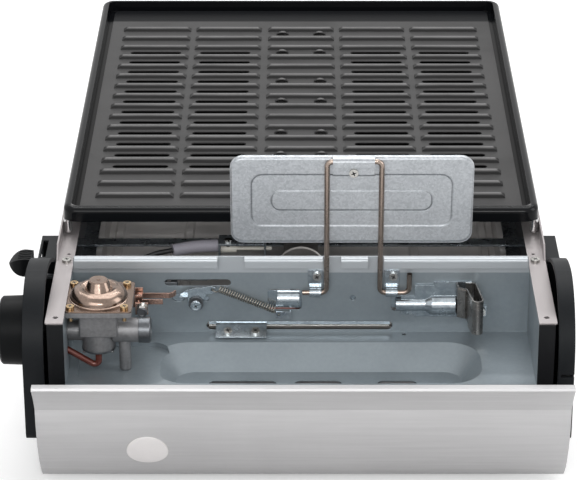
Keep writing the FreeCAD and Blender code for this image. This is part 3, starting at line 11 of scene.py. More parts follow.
import bpy
import numpy as np
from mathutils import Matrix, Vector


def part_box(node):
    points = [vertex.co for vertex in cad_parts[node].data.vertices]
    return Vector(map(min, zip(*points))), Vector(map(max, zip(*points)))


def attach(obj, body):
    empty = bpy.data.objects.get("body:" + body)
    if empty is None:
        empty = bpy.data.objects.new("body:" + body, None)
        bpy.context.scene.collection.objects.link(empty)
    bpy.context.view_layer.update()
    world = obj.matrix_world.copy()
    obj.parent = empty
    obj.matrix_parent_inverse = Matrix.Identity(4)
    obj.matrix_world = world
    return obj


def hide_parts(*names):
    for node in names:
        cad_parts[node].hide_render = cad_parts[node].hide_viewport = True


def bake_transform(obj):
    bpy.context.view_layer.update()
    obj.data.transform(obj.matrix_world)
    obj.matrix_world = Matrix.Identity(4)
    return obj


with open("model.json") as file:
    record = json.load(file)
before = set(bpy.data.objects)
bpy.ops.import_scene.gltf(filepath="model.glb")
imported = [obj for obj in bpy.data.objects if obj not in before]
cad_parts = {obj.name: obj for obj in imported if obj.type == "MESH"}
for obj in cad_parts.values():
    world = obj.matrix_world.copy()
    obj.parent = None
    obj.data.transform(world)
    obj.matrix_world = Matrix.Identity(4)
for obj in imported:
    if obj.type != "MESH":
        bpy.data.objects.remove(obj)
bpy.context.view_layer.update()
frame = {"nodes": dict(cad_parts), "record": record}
nodes = frame["nodes"]

# Where the grill's symmetry plane and the bay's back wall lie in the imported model, in metres
MIDDLE_X = 0.0093
WALL_Y = -0.16345


def at(x, y, z):
    """A point given in millimetres from the symmetry plane, the bay's back wall and the table."""
    return (MIDDLE_X + x / 1000, WALL_Y + y / 1000, z / 1000)


# %% [markdown]
# ## Camera
# The picture was taken with a long lens, 0.8 m above the table and 1.5 m in front of the bay's
# wall, square to the front and looking down by about 25 degrees. A shorter lens from nearer by
# would fill the frame as well, but would spread the two rails apart, which run nearly parallel
# here. The optical axis is slightly right of the picture's middle, so the camera keeps a small
# sideways shift.

# %% Camera
lens_width = 36.0
focal_pixels = 2645.0
picture_width = 578.0
axis_right_of_middle = 12.0
look_down = 25.1
camera_data = bpy.data.cameras.new("product_camera")
camera_data.sensor_width = lens_width
camera_data.lens = focal_pixels * lens_width / picture_width
camera_data.shift_x = -axis_right_of_middle / picture_width
camera_data.clip_end = 20
camera = bpy.data.objects.new("product_camera", camera_data)
camera.location = at(0, -1459, 812)
camera.rotation_euler = (math.radians(90 - look_down), 0, 0)
bpy.context.scene.collection.objects.link(camera)
bpy.context.scene.camera = camera
print("lens", round(camera_data.lens, 2), "mm")

# %% [markdown]
# ## Light and floor
# The floor is pale and keeps the object's shadow. Its white comes from a glow that only the
# camera sees, because more light on it would also bleach the object.

# %% Floor
scene = bpy.context.scene
scene.view_settings.view_transform = "Standard"


def new_material(name):
    """An empty node material with one shader wired to the output."""
    material = bpy.data.materials.new(name)
    material.use_nodes = True
    shader = material.node_tree.nodes["Principled BSDF"]
    return material, material.node_tree, shader


def add(tree, kind, inputs=None, **settings):
    """A node with some of its settings given by name, and fixed values for some of its inputs."""
    made = tree.nodes.new(kind)
    for key, value in settings.items():
        setattr(made, key, value)
    for key, value in (inputs or {}).items():
        made.inputs[key].default_value = value
    return made


def wire(tree, *pairs):
    """Links each pair of an output and an input, in the order given."""
    for source, target in pairs:
        tree.links.new(source, target)


FLOOR_REACH = 6.0
FLOOR_GLOW = 0.3
floor_mesh = bpy.data.meshes.new("studio_floor")
corners = [(FLOOR_REACH * x, FLOOR_REACH * y, 0) for x, y in ((-1, -1), (1, -1), (1, 1), (-1, 1))]
floor_mesh.from_pydata(corners, [], [(0, 1, 2, 3)])
floor = bpy.data.objects.new("studio_floor", floor_mesh)
scene.collection.objects.link(floor)
floor_material, tree, shader = new_material("studio_white")
shader.inputs["Base Color"].default_value = (0.86, 0.86, 0.86, 1)
shader.inputs["Roughness"].default_value = 0.7
shader.inputs["Emission Color"].default_value = (1, 1, 1, 1)
path = add(tree, "ShaderNodeLightPath")
glow = add(tree, "ShaderNodeMath", {1: FLOOR_GLOW}, operation="MULTIPLY")
wire(tree, (path.outputs["Is Camera Ray"], glow.inputs[0]),
     (glow.outputs[0], shader.inputs["Emission Strength"]))
floor_mesh.materials.append(floor_material)
print("floor", 2 * FLOOR_REACH, "m wide")

# %% [markdown]
# ## Air and lamps
# The air is white where a camera, glossy or transmitted ray meets it, and weak as a light, so
# metal reflects a bright studio while the object isn't flooded. Five soft lamps shape it: a large
# one overhead, a long narrow strip behind that draws the far edges, one in front on the left, a
# smaller one further off that lights the bay, and one on the right. A picture of a real studio
# would do too, but lamps are plain numbers that anyone can change.

# %% Air and lamps
AIR_LIGHT = 0.42
world = bpy.data.worlds.new("studio_air")
scene.world = world
world.use_nodes = True
air = world.node_tree
background = air.nodes["Background"]
rays = add(air, "ShaderNodeLightPath")
seen = add(air, "ShaderNodeMath", operation="MAXIMUM")
mirrored = add(air, "ShaderNodeMath", operation="MAXIMUM")
strength = add(air, "ShaderNodeMapRange", {"To Min": AIR_LIGHT, "To Max": 1.0})
wire(air, (rays.outputs["Is Camera Ray"], seen.inputs[0]),
     (rays.outputs["Is Transmission Ray"], seen.inputs[1]),
     (seen.outputs[0], mirrored.inputs[0]), (rays.outputs["Is Glossy Ray"], mirrored.inputs[1]),
     (mirrored.outputs[0], strength.inputs["Value"]),
     (strength.outputs[0], background.inputs["Strength"]))
background.inputs["Color"].default_value = (1, 1, 1, 1)


def soft_lamp(name, place, target, width, depth, watts):
    """A rectangular lamp that looks at a point."""
    data = bpy.data.lights.new(name, "AREA")
    data.shape = "RECTANGLE"
    data.size = width
    data.size_y = depth
    data.energy = watts
    lamp = bpy.data.objects.new(name, data)
    lamp.location = place
    way = np.array(target, float) - np.array(place, float)
    flat = math.hypot(way[0], way[1])
    lamp.rotation_euler = (math.atan2(flat, -way[2]), 0, math.atan2(-way[0], way[1]))
    scene.collection.objects.link(lamp)


soft_lamp("lamp_overhead", (0.1, 0.5, 1.7), (0, 0.0, 0.1), 1.6, 1.2, 17)
soft_lamp("lamp_strip_behind", (0.0, 1.3, 1.5), (0, 0.1, 0.1), 2.2, 0.06, 7)
soft_lamp("lamp_front", (-0.5, -1.7, 1.0), (0, -0.1, 0.1), 1.2, 0.8, 10)
soft_lamp("lamp_front_low", (0.2, -2.0, 0.98), (0, 0, 0.1), 0.5, 0.3, 6)
soft_lamp("lamp_right", (1.6, -0.3, 0.8), (0, 0, 0.1), 0.8, 1.2, 9)

# %% [markdown]
# ## Effects that several finishes share
# Four groups are built once. *brushed_lines* stretches noise along one direction, like the
# marks of a rolling mill. *handling* is the cloudy film that fingers and heat leave. *fine_skin*
# is the tiny unevenness of a moulded or cast surface, as a height. *zinc_flakes* is the patchwork
# of crystals on sheet that was dipped in zinc: cells whose borders a little noise has bent, each
# with one tone of its own. Painted pictures could carry the same marks, but noise has no seams and
# stays sharp from near by.

# %% Shared groups


def socket(group, way, kind, name, value=None):
    """One socket on a group's outside."""
    made = group.interface.new_socket(name=name, in_out=way, socket_type=kind)
    if value is not None:
        made.default_value = value


def group_of(name, inputs, outputs):
    """An empty group with its two end nodes."""
    group = bpy.data.node_groups.new(name, "ShaderNodeTree")
    for title, kind, value in inputs:
        socket(group, "INPUT", kind, title, value)
    for title, kind in outputs:
        socket(group, "OUTPUT", kind, title)
    return group, group.nodes.new("NodeGroupInput"), group.nodes.new("NodeGroupOutput")


brushed, way_in, way_out = group_of(
    "brushed_lines",
    [("Stretch", "NodeSocketVector", (1, 1, 1)), ("Scale", "NodeSocketFloat", 300.0)],
    [("Tone", "NodeSocketFloat"), ("Height", "NodeSocketFloat")])
place = add(brushed, "ShaderNodeTexCoord")
pull = add(brushed, "ShaderNodeVectorMath", operation="MULTIPLY")
lines = add(brushed, "ShaderNodeTexNoise", {"Detail": 3})
wire(brushed, (place.outputs["Object"], pull.inputs[0]), (way_in.outputs["Stretch"], pull.inputs[1]),
     (pull.outputs[0], lines.inputs["Vector"]), (way_in.outputs["Scale"], lines.inputs["Scale"]),
     (lines.outputs["Fac"], way_out.inputs["Height"]))
spread = add(brushed, "ShaderNodeMapRange", {"From Min": 0.3, "From Max": 0.7})
wire(brushed, (lines.outputs["Fac"], spread.inputs["Value"]), (spread.outputs[0], way_out.inputs["Tone"]))

handling, way_in, way_out = group_of(
    "handling", [("Scale", "NodeSocketFloat", 28.0)], [("Film", "NodeSocketFloat")])
place = add(handling, "ShaderNodeTexCoord")
cloud = add(handling, "ShaderNodeTexNoise", {"Detail": 5, "Roughness": 0.6, "Distortion": 0.4})
level = add(handling, "ShaderNodeMapRange", {"From Min": 0.35, "From Max": 0.68})
wire(handling, (place.outputs["Object"], cloud.inputs["Vector"]),
     (way_in.outputs["Scale"], cloud.inputs["Scale"]), (cloud.outputs["Fac"], level.inputs["Value"]),
     (level.outputs[0], way_out.inputs["Film"]))

skin, way_in, way_out = group_of(
    "fine_skin",
    [("Scale", "NodeSocketFloat", 900.0)],
    [("Height", "NodeSocketFloat"), ("Tone", "NodeSocketFloat")])
place = add(skin, "ShaderNodeTexCoord")
grain = add(skin, "ShaderNodeTexNoise", {"Detail": 2})
cells = add(skin, "ShaderNodeTexVoronoi")
mix = add(skin, "ShaderNodeMath", {1: 0.35}, operation="MULTIPLY_ADD")
wire(skin, (place.outputs["Object"], grain.inputs["Vector"]),
     (place.outputs["Object"], cells.inputs["Vector"]), (way_in.outputs["Scale"], grain.inputs["Scale"]),
     (way_in.outputs["Scale"], cells.inputs["Scale"]), (cells.outputs["Distance"], mix.inputs[0]),
     (grain.outputs["Fac"], mix.inputs[2]), (mix.outputs[0], way_out.inputs["Height"]),
     (grain.outputs["Fac"], way_out.inputs["Tone"]))

flakes, way_in, way_out = group_of(
    "zinc_flakes", [("Scale", "NodeSocketFloat", 260.0)], [("Tone", "NodeSocketFloat")])
place = add(flakes, "ShaderNodeTexCoord")
wander = add(flakes, "ShaderNodeTexNoise", {"Scale": 180})
bend = add(flakes, "ShaderNodeVectorMath", {1: (0.004, 0.004, 0.004)}, operation="MULTIPLY_ADD")
crystals = add(flakes, "ShaderNodeTexVoronoi")
one_of_three = add(flakes, "ShaderNodeSeparateColor")
wire(flakes, (place.outputs["Object"], wander.inputs["Vector"]),
     (wander.outputs["Color"], bend.inputs[0]),
     (place.outputs["Object"], bend.inputs[2]), (bend.outputs[0], crystals.inputs["Vector"]),
     (way_in.outputs["Scale"], crystals.inputs["Scale"]),
     (crystals.outputs["Color"], one_of_three.inputs[0]),
     (one_of_three.outputs[0], way_out.inputs["Tone"]))
print("groups", [group.name for group in bpy.data.node_groups])

# %% [markdown]
# ## Finishes
# Each finish is one function's result: a base colour pulled a little lighter and darker by the
# groups, a roughness that follows the film, and a bump at the real scale of the surface. A small
# rounding of the normal gives edges a soft highlight, which would otherwise need a real rounding
# on every edge of the solids.

# %% Finish helper
GRAIN_SHARE = 0.55
COAT_ROUGHNESS = 0.18
BUMP_STRENGTH = 0.6
BEVEL_SAMPLES = 4
finishes = {}


def finish(name, light, dark, roughness, metallic, coat=0.0, lines_along=None, line_scale=240.0,
           skin_scale=900.0, skin_depth=0.00002, film_scale=28.0, film_rough=0.12, edge=0.0003,
           flake_scale=None, gloss=0.5, pressed=None, upper=None, beyond=None):
    """Keeps a finish: colour runs from dark to light with grain, roughness rises with the film.

    pressed is a list of (centre, straight half, corner, rise) panels stamped into the sheet;
    upper is (height, tint), a painted highlight of a lighter tint above that height, and beyond
    is (centre, radius, tint), another tint outside a round part about an upright axis.
    """
    material, tree, shader = new_material(name)
    film = add(tree, "ShaderNodeGroup", {"Scale": film_scale}, node_tree=handling)
    fine = add(tree, "ShaderNodeGroup", {"Scale": skin_scale}, node_tree=skin)
    tone_source = fine.outputs["Tone"]
    height_source = fine.outputs["Height"]
    if lines_along is not None:
        line = add(tree, "ShaderNodeGroup",
                   {"Stretch": lines_along, "Scale": line_scale}, node_tree=brushed)
        tone_source = line.outputs["Tone"]
        height_source = line.outputs["Height"]
    if flake_scale is not None:
        crystal = add(tree, "ShaderNodeGroup", {"Scale": flake_scale}, node_tree=flakes)
        tone_source = crystal.outputs["Tone"]
    blend = add(tree, "ShaderNodeMath", {1: GRAIN_SHARE}, operation="MULTIPLY_ADD")
    rest = add(tree, "ShaderNodeMath", {1: 1 - GRAIN_SHARE}, operation="MULTIPLY")
    wire(tree, (tone_source, blend.inputs[0]), (film.outputs["Film"], rest.inputs[0]),
         (rest.outputs[0], blend.inputs[2]))
    colour = add(tree, "ShaderNodeMix", {"A": (*dark, 1), "B": (*light, 1)}, data_type="RGBA")
    wire(tree, (blend.outputs[0], colour.inputs["Factor"]))
    last_colour = colour.outputs["Result"]
    if upper is not None:
        last_colour = paint_highlight_above(tree, last_colour, *upper)
    if beyond is not None:
        last_colour = tint_beyond(tree, last_colour, *beyond)
    wire(tree, (last_colour, shader.inputs["Base Color"]))
    rough = add(tree, "ShaderNodeMapRange",
                {"To Min": roughness, "To Max": min(1.0, roughness + film_rough)})
    wire(tree, (film.outputs["Film"], rough.inputs["Value"]),
         (rough.outputs[0], shader.inputs["Roughness"]))
    shader.inputs["Metallic"].default_value = metallic
    shader.inputs["Coat Weight"].default_value = coat
    shader.inputs["Coat Roughness"].default_value = COAT_ROUGHNESS
    shader.inputs["Specular IOR Level"].default_value = gloss
    bump = add(tree, "ShaderNodeBump", {"Distance": skin_depth, "Strength": BUMP_STRENGTH})
    wire(tree, (height_source, bump.inputs["Height"]))
    if edge > 0:
        soften = add(tree, "ShaderNodeBevel", {"Radius": edge}, samples=BEVEL_SAMPLES)
        wire(tree, (soften.outputs[0], bump.inputs["Normal"]))
    last_normal = bump.outputs[0]
    for panel in pressed or []:
        last_normal = press(tree, last_normal, *panel)
    wire(tree, (last_normal, shader.inputs["Normal"]))
    finishes[name] = material


print("one function for all plain finishes, edges softened with", BEVEL_SAMPLES, "samples")

# %% [markdown]
# ## Stamped lines
# A stamping is a step in the sheet that runs round a rounded oblong. Its distance field is short:
# how far a point is past the straight part, less the corner's radius. Where that distance passes
# through zero the height changes, and the bump shades one side light and the other dark. The
# solids have these steps too, but so fine that only the shading makes them read.

# %% Stamped line and tint helpers
TINT_BLUR_UP = 0.0003
TINT_BLUR_OUT = 0.0004
stamped, way_in, way_out = group_of(
    "stamped_panel",
    [("Centre", "NodeSocketVector", (0, 0, 0)), ("Straight", "NodeSocketVector", (0.01, 1, 0.01)),
     ("Corner", "NodeSocketFloat", 0.005), ("Width", "NodeSocketFloat", 0.0006)],
    [("Inside", "NodeSocketFloat")])
place = add(stamped, "ShaderNodeTexCoord")
away = add(stamped, "ShaderNodeVectorMath", operation="SUBTRACT")
size_of = add(stamped, "ShaderNodeVectorMath", operation="ABSOLUTE")
past = add(stamped, "ShaderNodeVectorMath", operation="SUBTRACT")
outside = add(stamped, "ShaderNodeVectorMath", {1: (0, 0, 0)}, operation="MAXIMUM")
length = add(stamped, "ShaderNodeVectorMath", operation="LENGTH")
level = add(stamped, "ShaderNodeMath", operation="SUBTRACT")
soft = add(stamped, "ShaderNodeMapRange", {"To Min": 1.0, "To Max": 0.0}, interpolation_type="SMOOTHSTEP")
less = add(stamped, "ShaderNodeMath", {1: -1.0}, operation="MULTIPLY")
wire(stamped, (place.outputs["Object"], away.inputs[0]), (way_in.outputs["Centre"], away.inputs[1]),
     (away.outputs[0], size_of.inputs[0]), (size_of.outputs[0], past.inputs[0]),
     (way_in.outputs["Straight"], past.inputs[1]), (past.outputs[0], outside.inputs[0]),
     (outside.outputs[0], length.inputs[0]), (length.outputs["Value"], level.inputs[0]),
     (way_in.outputs["Corner"], level.inputs[1]), (way_in.outputs["Width"], less.inputs[0]),
     (level.outputs[0], soft.inputs["Value"]), (less.outputs[0], soft.inputs["From Min"]),
     (way_in.outputs["Width"], soft.inputs["From Max"]), (soft.outputs[0], way_out.inputs["Inside"]))


def press(tree, normal, centre, straight, corner, rise):
    """Shades one stamped panel: its inside is raised by rise, or sunk where rise is negative."""
    panel = add(tree, "ShaderNodeGroup",
                {"Centre": centre, "Straight": straight, "Corner": corner}, node_tree=stamped)
    step = add(tree, "ShaderNodeBump", {"Distance": abs(rise), "Strength": 1.0}, invert=rise < 0)
    wire(tree, (panel.outputs["Inside"], step.inputs["Height"]), (normal, step.inputs["Normal"]))
    return step.outputs[0]


def paint_highlight_above(tree, colour, height, tint):
    """Lightens the colour above a height: a painted highlight along a rolled edge."""
    place = add(tree, "ShaderNodeTexCoord")
    split = add(tree, "ShaderNodeSeparateXYZ")
    over = add(tree, "ShaderNodeMapRange",
               {"From Min": height - TINT_BLUR_UP, "From Max": height + TINT_BLUR_UP})
    both = add(tree, "ShaderNodeMix", {"B": (*tint, 1)}, data_type="RGBA")
    wire(tree, (place.outputs["Object"], split.inputs[0]), (split.outputs["Z"], over.inputs["Value"]),
         (over.outputs[0], both.inputs["Factor"]), (colour, both.inputs["A"]))
    return both.outputs["Result"]


def tint_beyond(tree, colour, centre, radius, tint):
    """Another tint outside a round part, where the distance from its upright axis is over its radius."""
    place = add(tree, "ShaderNodeTexCoord")
    away = add(tree, "ShaderNodeVectorMath", {1: centre}, operation="SUBTRACT")
    level = add(tree, "ShaderNodeVectorMath", {1: (1, 1, 0)}, operation="MULTIPLY")
    reach = add(tree, "ShaderNodeVectorMath", operation="LENGTH")
    over = add(tree, "ShaderNodeMapRange",
               {"From Min": radius - TINT_BLUR_OUT, "From Max": radius + TINT_BLUR_OUT})
    both = add(tree, "ShaderNodeMix", {"B": (*tint, 1)}, data_type="RGBA")
    wire(tree, (place.outputs["Object"], away.inputs[0]), (away.outputs[0], level.inputs[0]),
         (level.outputs[0], reach.inputs[0]), (reach.outputs["Value"], over.inputs["Value"]),
         (over.outputs[0], both.inputs["Factor"]), (colour, both.inputs["A"]))
    return both.outputs["Result"]


print("helpers ready for", stamped.name)

# %% [markdown]
# ## The finishes of this grill
# Rolled steel on the housing, cover and rails, painted sheet in the bay, zinc on the small levers,
# cast alloy and plated copper on the regulator, and black plastic at the sides. Each line gives
# the light tone, the dark tone, the roughness and how metallic it is, and then what is special.
# A row of numbers is easier to compare and change than a node tree made by hand for each. The
# stretch vectors draw noise out along one direction, by a scale of one part in twenty-five.

# %% Metal and paint finishes
DRAWN_OUT = 0.04
ALONG_DEPTH = (1.0, DRAWN_OUT, 1.0)
ALONG_WIDTH = (DRAWN_OUT, 1.0, 1.0)
ALONG_HEIGHT = (1.0, 1.0, DRAWN_OUT)
SHIELD_MIDDLE = at(30.5, 0, 159.2)
finish("housing_steel", (0.58, 0.58, 0.59), (0.47, 0.47, 0.49), 0.36, 0.7,
       lines_along=ALONG_DEPTH, film_scale=16)
finish("rail_steel", (0.405, 0.375, 0.375), (0.335, 0.31, 0.31), 0.38, 0.5,
       lines_along=ALONG_DEPTH, line_scale=320)
# The bay's rolled hem, above its height, takes a painted highlight: a lighter tint
finish("bay_steel", (0.295, 0.335, 0.36), (0.222, 0.257, 0.281), 0.30, 0.35,
       film_scale=20, film_rough=0.16, skin_scale=420,
       upper=(0.1066, (0.46, 0.49, 0.515)))
finish("galvanised", (0.46, 0.50, 0.53), (0.24, 0.27, 0.30), 0.24, 0.85,
       film_scale=90, flake_scale=700)
finish("slider_steel", (0.55, 0.61, 0.65), (0.33, 0.37, 0.40), 0.17, 0.9,
       film_scale=110, flake_scale=500)
finish("bright_screw", (0.66, 0.65, 0.62), (0.40, 0.39, 0.37), 0.16, 1.0,
       film_scale=300, edge=0.00025)
finish("gold_screw", (0.60, 0.44, 0.25), (0.32, 0.22, 0.12), 0.2, 1.0,
       film_scale=300, edge=0.00025)
finish("spring_steel", (0.40, 0.38, 0.34), (0.21, 0.195, 0.17), 0.25, 0.9,
       film_scale=80, edge=0)
finish("clip_steel", (0.44, 0.42, 0.40), (0.12, 0.115, 0.11), 0.22, 0.9,
       lines_along=ALONG_HEIGHT, line_scale=420, film_scale=80)
finish("cover_steel", (0.56, 0.555, 0.56), (0.475, 0.47, 0.475), 0.42, 0.4,
       lines_along=ALONG_WIDTH, line_scale=420, skin_depth=0.000006, film_scale=9,
       film_rough=0.06)
finish("badge_metal", (0.76, 0.735, 0.73), (0.70, 0.675, 0.67), 0.38, 0.1, edge=0.0004,
       film_scale=60)
finish("black_cover", (0.010, 0.0115, 0.013), (0.005, 0.006, 0.0075), 0.42, 0.0,
       skin_scale=700, skin_depth=0.00003, film_scale=18, film_rough=0.1, edge=0.0009,
       gloss=0.13)
finish("black_post", (0.006, 0.007, 0.008), (0.004, 0.004, 0.005), 0.4, 0.0, edge=0.0005,
       gloss=0.16)
finish("black_knob", (0.006, 0.0065, 0.007), (0.003, 0.0035, 0.004), 0.34, 0.0,
       skin_scale=800, edge=0.0006, gloss=0.08)
finish("castalloy", (0.31, 0.31, 0.315), (0.14, 0.14, 0.145), 0.42, 0.6,
       skin_scale=520, skin_depth=0.00016, film_scale=70, edge=0.0006)
finish("copper_plate", (0.55, 0.37, 0.30), (0.30, 0.19, 0.155), 0.22, 0.9,
       film_scale=60, film_rough=0.14, edge=0.0003)
finish("bronze_cap", (0.34, 0.255, 0.21), (0.17, 0.125, 0.10), 0.15, 0.95,
       film_scale=45, film_rough=0.16, edge=0.0004,
       beyond=(at(-121, -39, 0), 0.0185, (0.20, 0.145, 0.115)))
finish("zinc_cap", (0.19, 0.20, 0.21), (0.07, 0.075, 0.082), 0.28, 0.85, edge=0.0005)
finish("gas_tube", (0.20, 0.045, 0.028), (0.095, 0.02, 0.014), 0.24, 0.3, coat=0.5, edge=0)
finish("burner_steel", (0.28, 0.27, 0.26), (0.16, 0.15, 0.14), 0.4, 0.9,
       film_scale=30)
finish("ceramic_white", (0.80, 0.77, 0.70), (0.68, 0.65, 0.58), 0.35, 0.0, edge=0)
finish("grey_sleeve", (0.42, 0.40, 0.45), (0.27, 0.26, 0.30), 0.5, 0.0,
       skin_scale=1400, skin_depth=0.0001, edge=0)
finish("black_lead", (0.02, 0.02, 0.021), (0.01, 0.01, 0.011), 0.4, 0.0, edge=0)
finish("wire_steel", (0.47, 0.38, 0.325), (0.26, 0.205, 0.17), 0.2, 0.95, edge=0)
finish("shield_steel", (0.58, 0.605, 0.63), (0.36, 0.38, 0.405), 0.3, 0.5,
       film_scale=14, flake_scale=900,
       pressed=[(SHIELD_MIDDLE, (0.0723 - 0.0072, 1, 0.02855 - 0.0072), 0.0072, 0.0007),
                (SHIELD_MIDDLE, (0.0532, 1, 0.01075), 0.0070, -0.0008),
                (SHIELD_MIDDLE, (0.0422, 1, 0.0009), 0.0060, 0.0009)])
finish("plate_pegs", (0.74, 0.74, 0.74), (0.5, 0.5, 0.5), 0.1, 1.0, film_scale=200, edge=0)
finish("tray_enamel", (0.66, 0.635, 0.62), (0.55, 0.53, 0.515), 0.34, 0.1,
       lines_along=ALONG_DEPTH, line_scale=70, film_scale=45)
finish("foot_steel", (0.03, 0.03, 0.03), (0.018, 0.018, 0.018), 0.4, 0.2, edge=0.0006)
finish("foot_rubber", (0.022, 0.022, 0.022), (0.012, 0.012, 0.012), 0.75, 0.0, gloss=0.2)
finish("recess_shadow", (0.03, 0.029, 0.028), (0.008, 0.008, 0.008), 0.5, 0.3, edge=0)
finish("pointer_paint", (0.82, 0.82, 0.80), (0.72, 0.72, 0.70), 0.45, 0.0, edge=0)
print("finishes", len(finishes))

# %% [markdown]
# ## The hot plate's coats
# The plate is one piece with one dark coat, yet it shows four tones, and three of them are painted
# light and shade. The rim and the channel inside it are glossy and painted near-black as shade, the
# floor is the coat's matt grey, the flanks of the ribs are painted dark as shade, and their crests
# are painted lighter as a highlight. All four follow from two measures: the distance to the rim, and
# the height above the table. So one material does it, without a second mesh for each zone.

# %% Rim mask of the hot plate
RIM_WIDTH = 0.0051
RIM_BLUR = 0.0006
low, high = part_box("grill_plate")
plate_middle = ((low.x + high.x) / 2, (low.y + high.y) / 2)
plate_half = ((high.x - low.x) / 2 - RIM_WIDTH, (high.y - low.y) / 2 - RIM_WIDTH)
material, tree, shader = new_material("plate_coating")
place = add(tree, "ShaderNodeTexCoord")
split = add(tree, "ShaderNodeSeparateXYZ")
wire(tree, (place.outputs["Object"], split.inputs[0]))
edges = []
for axis, middle, half in (("X", plate_middle[0], plate_half[0]), ("Y", plate_middle[1], plate_half[1])):
    from_middle = add(tree, "ShaderNodeMath", {1: middle}, operation="SUBTRACT")
    wire(tree, (split.outputs[axis], from_middle.inputs[0]))
    size_of = add(tree, "ShaderNodeMath", operation="ABSOLUTE")
    wire(tree, (from_middle.outputs[0], size_of.inputs[0]))
    past = add(tree, "ShaderNodeMapRange", {"From Min": half - RIM_BLUR, "From Max": half + RIM_BLUR})
    wire(tree, (size_of.outputs[0], past.inputs["Value"]))
    edges.append(past)
rim = add(tree, "ShaderNodeMath", operation="MAXIMUM")
wire(tree, (edges[0].outputs[0], rim.inputs[0]), (edges[1].outputs[0], rim.inputs[1]))
# A strip along the far end, behind the last rib, is painted black too, as painted shade
FAR_RIM = 0.0048
FAR_STRIP = 0.027
FAR_BLUR = 0.0012
strip_start = high.y - FAR_RIM - FAR_STRIP
far_painted_shade = add(tree, "ShaderNodeMapRange",
             {"From Min": strip_start - FAR_BLUR, "From Max": strip_start + FAR_BLUR})
wire(tree, (split.outputs["Y"], far_painted_shade.inputs["Value"]))
painted_shade_part = add(tree, "ShaderNodeMath", operation="MAXIMUM")
wire(tree, (rim.outputs[0], painted_shade_part.inputs[0]), (far_painted_shade.outputs[0], painted_shade_part.inputs[1]))
print("rim starts", [round(half * 1000, 1) for half in plate_half], "mm from the middle")

# %% [markdown]
# ## Painted shade and highlight by height
# The height above the table, moved up and down a little by the film, picks a tone from a ramp:
# painted shade in black in the channel, grey on the floor, painted shade in dark on the flanks and
# a painted highlight in light on the crests. Painting each rib would do the same by hand, but the
# ramp follows every rib by itself.

# %% Tones by height on the hot plate
CHANNEL, FLOOR, CREST = 0.1220, 0.1240, 0.1266
RAMP_OVER = 0.0003
JITTER_DEPTH = 0.00035
film = add(tree, "ShaderNodeGroup", {"Scale": 14}, node_tree=handling)
jittered_height = add(tree, "ShaderNodeMath", {1: JITTER_DEPTH}, operation="MULTIPLY_ADD")
height = add(tree, "ShaderNodeMapRange", {"From Min": CHANNEL, "From Max": CREST + RAMP_OVER})
tones = add(tree, "ShaderNodeValToRGB")


def ramp_at(level, offset):
    """Place on the ramp of a level's height plus an offset, both in metres."""
    return (level - CHANNEL + offset) / (CREST + RAMP_OVER - CHANNEL)


# Ramp stops: painted shade in the channel, the coat's grey on the floor, painted shade on the flanks, a
# painted highlight on the crests
marks = [(0.0, 0.004), (ramp_at(FLOOR, -0.0005), 0.004), (ramp_at(FLOOR, -0.0002), 0.080),
         (ramp_at(FLOOR, 0.0002), 0.068), (ramp_at(FLOOR, 0.0007), 0.024),
         (ramp_at(CREST, -0.0007), 0.036), (1.0, 0.19)]
while len(tones.color_ramp.elements) < len(marks):
    tones.color_ramp.elements.new(0.5)
for element, (position, tone) in zip(tones.color_ramp.elements, marks):
    element.position = position
    element.color = (tone, tone * 0.985, tone * 0.99, 1)
wire(tree, (film.outputs["Film"], jittered_height.inputs[0]), (split.outputs["Z"], jittered_height.inputs[2]),
     (jittered_height.outputs[0], height.inputs["Value"]), (height.outputs[0], tones.inputs["Fac"]))
# Near-black painted shade over the rim and the far strip
both = add(tree, "ShaderNodeMix", {"B": (0.005, 0.0055, 0.0065, 1)}, data_type="RGBA")
wire(tree, (painted_shade_part.outputs[0], both.inputs["Factor"]), (tones.outputs["Color"], both.inputs["A"]),
     (both.outputs["Result"], shader.inputs["Base Color"]))
print("tones", len(marks), "between", CHANNEL, "and", CREST)

# %% [markdown]
# ## Gloss and grain of the plate
# The rim and the channel are smooth and shine, and the rest is rougher. A mask by height finds the
# channel, and the rim's own mask joins it for the roughness and drives the clear coat alone. A
# second material for the rim would need its own faces, and would meet the first at a hard line.

# %% Gloss and grain of the hot plate
MATT, GLOSSY = 0.33, 0.13
RIM_COAT, RIM_COAT_ROUGHNESS = 0.2, 0.1
GRAIN_SCALE, GRAIN_DEPTH = 1100, 0.00004
under = add(tree, "ShaderNodeMapRange", {"From Min": FLOOR - 0.0002, "From Max": FLOOR - 0.0008})
wire(tree, (split.outputs["Z"], under.inputs["Value"]))
glossy_part = add(tree, "ShaderNodeMath", operation="MAXIMUM")
wire(tree, (rim.outputs[0], glossy_part.inputs[0]), (under.outputs[0], glossy_part.inputs[1]))
rough = add(tree, "ShaderNodeMapRange", {"To Min": MATT, "To Max": GLOSSY})
wire(tree, (glossy_part.outputs[0], rough.inputs["Value"]),
     (rough.outputs[0], shader.inputs["Roughness"]))
shader.inputs["Metallic"].default_value = 0.0
shader.inputs["Specular IOR Level"].default_value = 0.05
glaze = add(tree, "ShaderNodeMapRange", {"To Max": RIM_COAT})
wire(tree, (rim.outputs[0], glaze.inputs["Value"]), (glaze.outputs[0], shader.inputs["Coat Weight"]))
shader.inputs["Coat Roughness"].default_value = RIM_COAT_ROUGHNESS
speck = add(tree, "ShaderNodeGroup", {"Scale": GRAIN_SCALE}, node_tree=skin)
soften = add(tree, "ShaderNodeBevel", {"Radius": 0.0006}, samples=BEVEL_SAMPLES)
bump = add(tree, "ShaderNodeBump", {"Distance": GRAIN_DEPTH, "Strength": 0.5})
wire(tree, (speck.outputs["Height"], bump.inputs["Height"]), (soften.outputs[0], bump.inputs["Normal"]),
     (bump.outputs[0], shader.inputs["Normal"]))
finishes["plate_coating"] = material
print("made", material.name)

# %% [markdown]
# ## Dress the solids
# The record names the finish of every node, so one loop gives each its material, where 58 steps
# by hand would be slow and easy to get wrong. A few pieces look different from the rest of their
# kind in the photograph, and take a finish of their own.

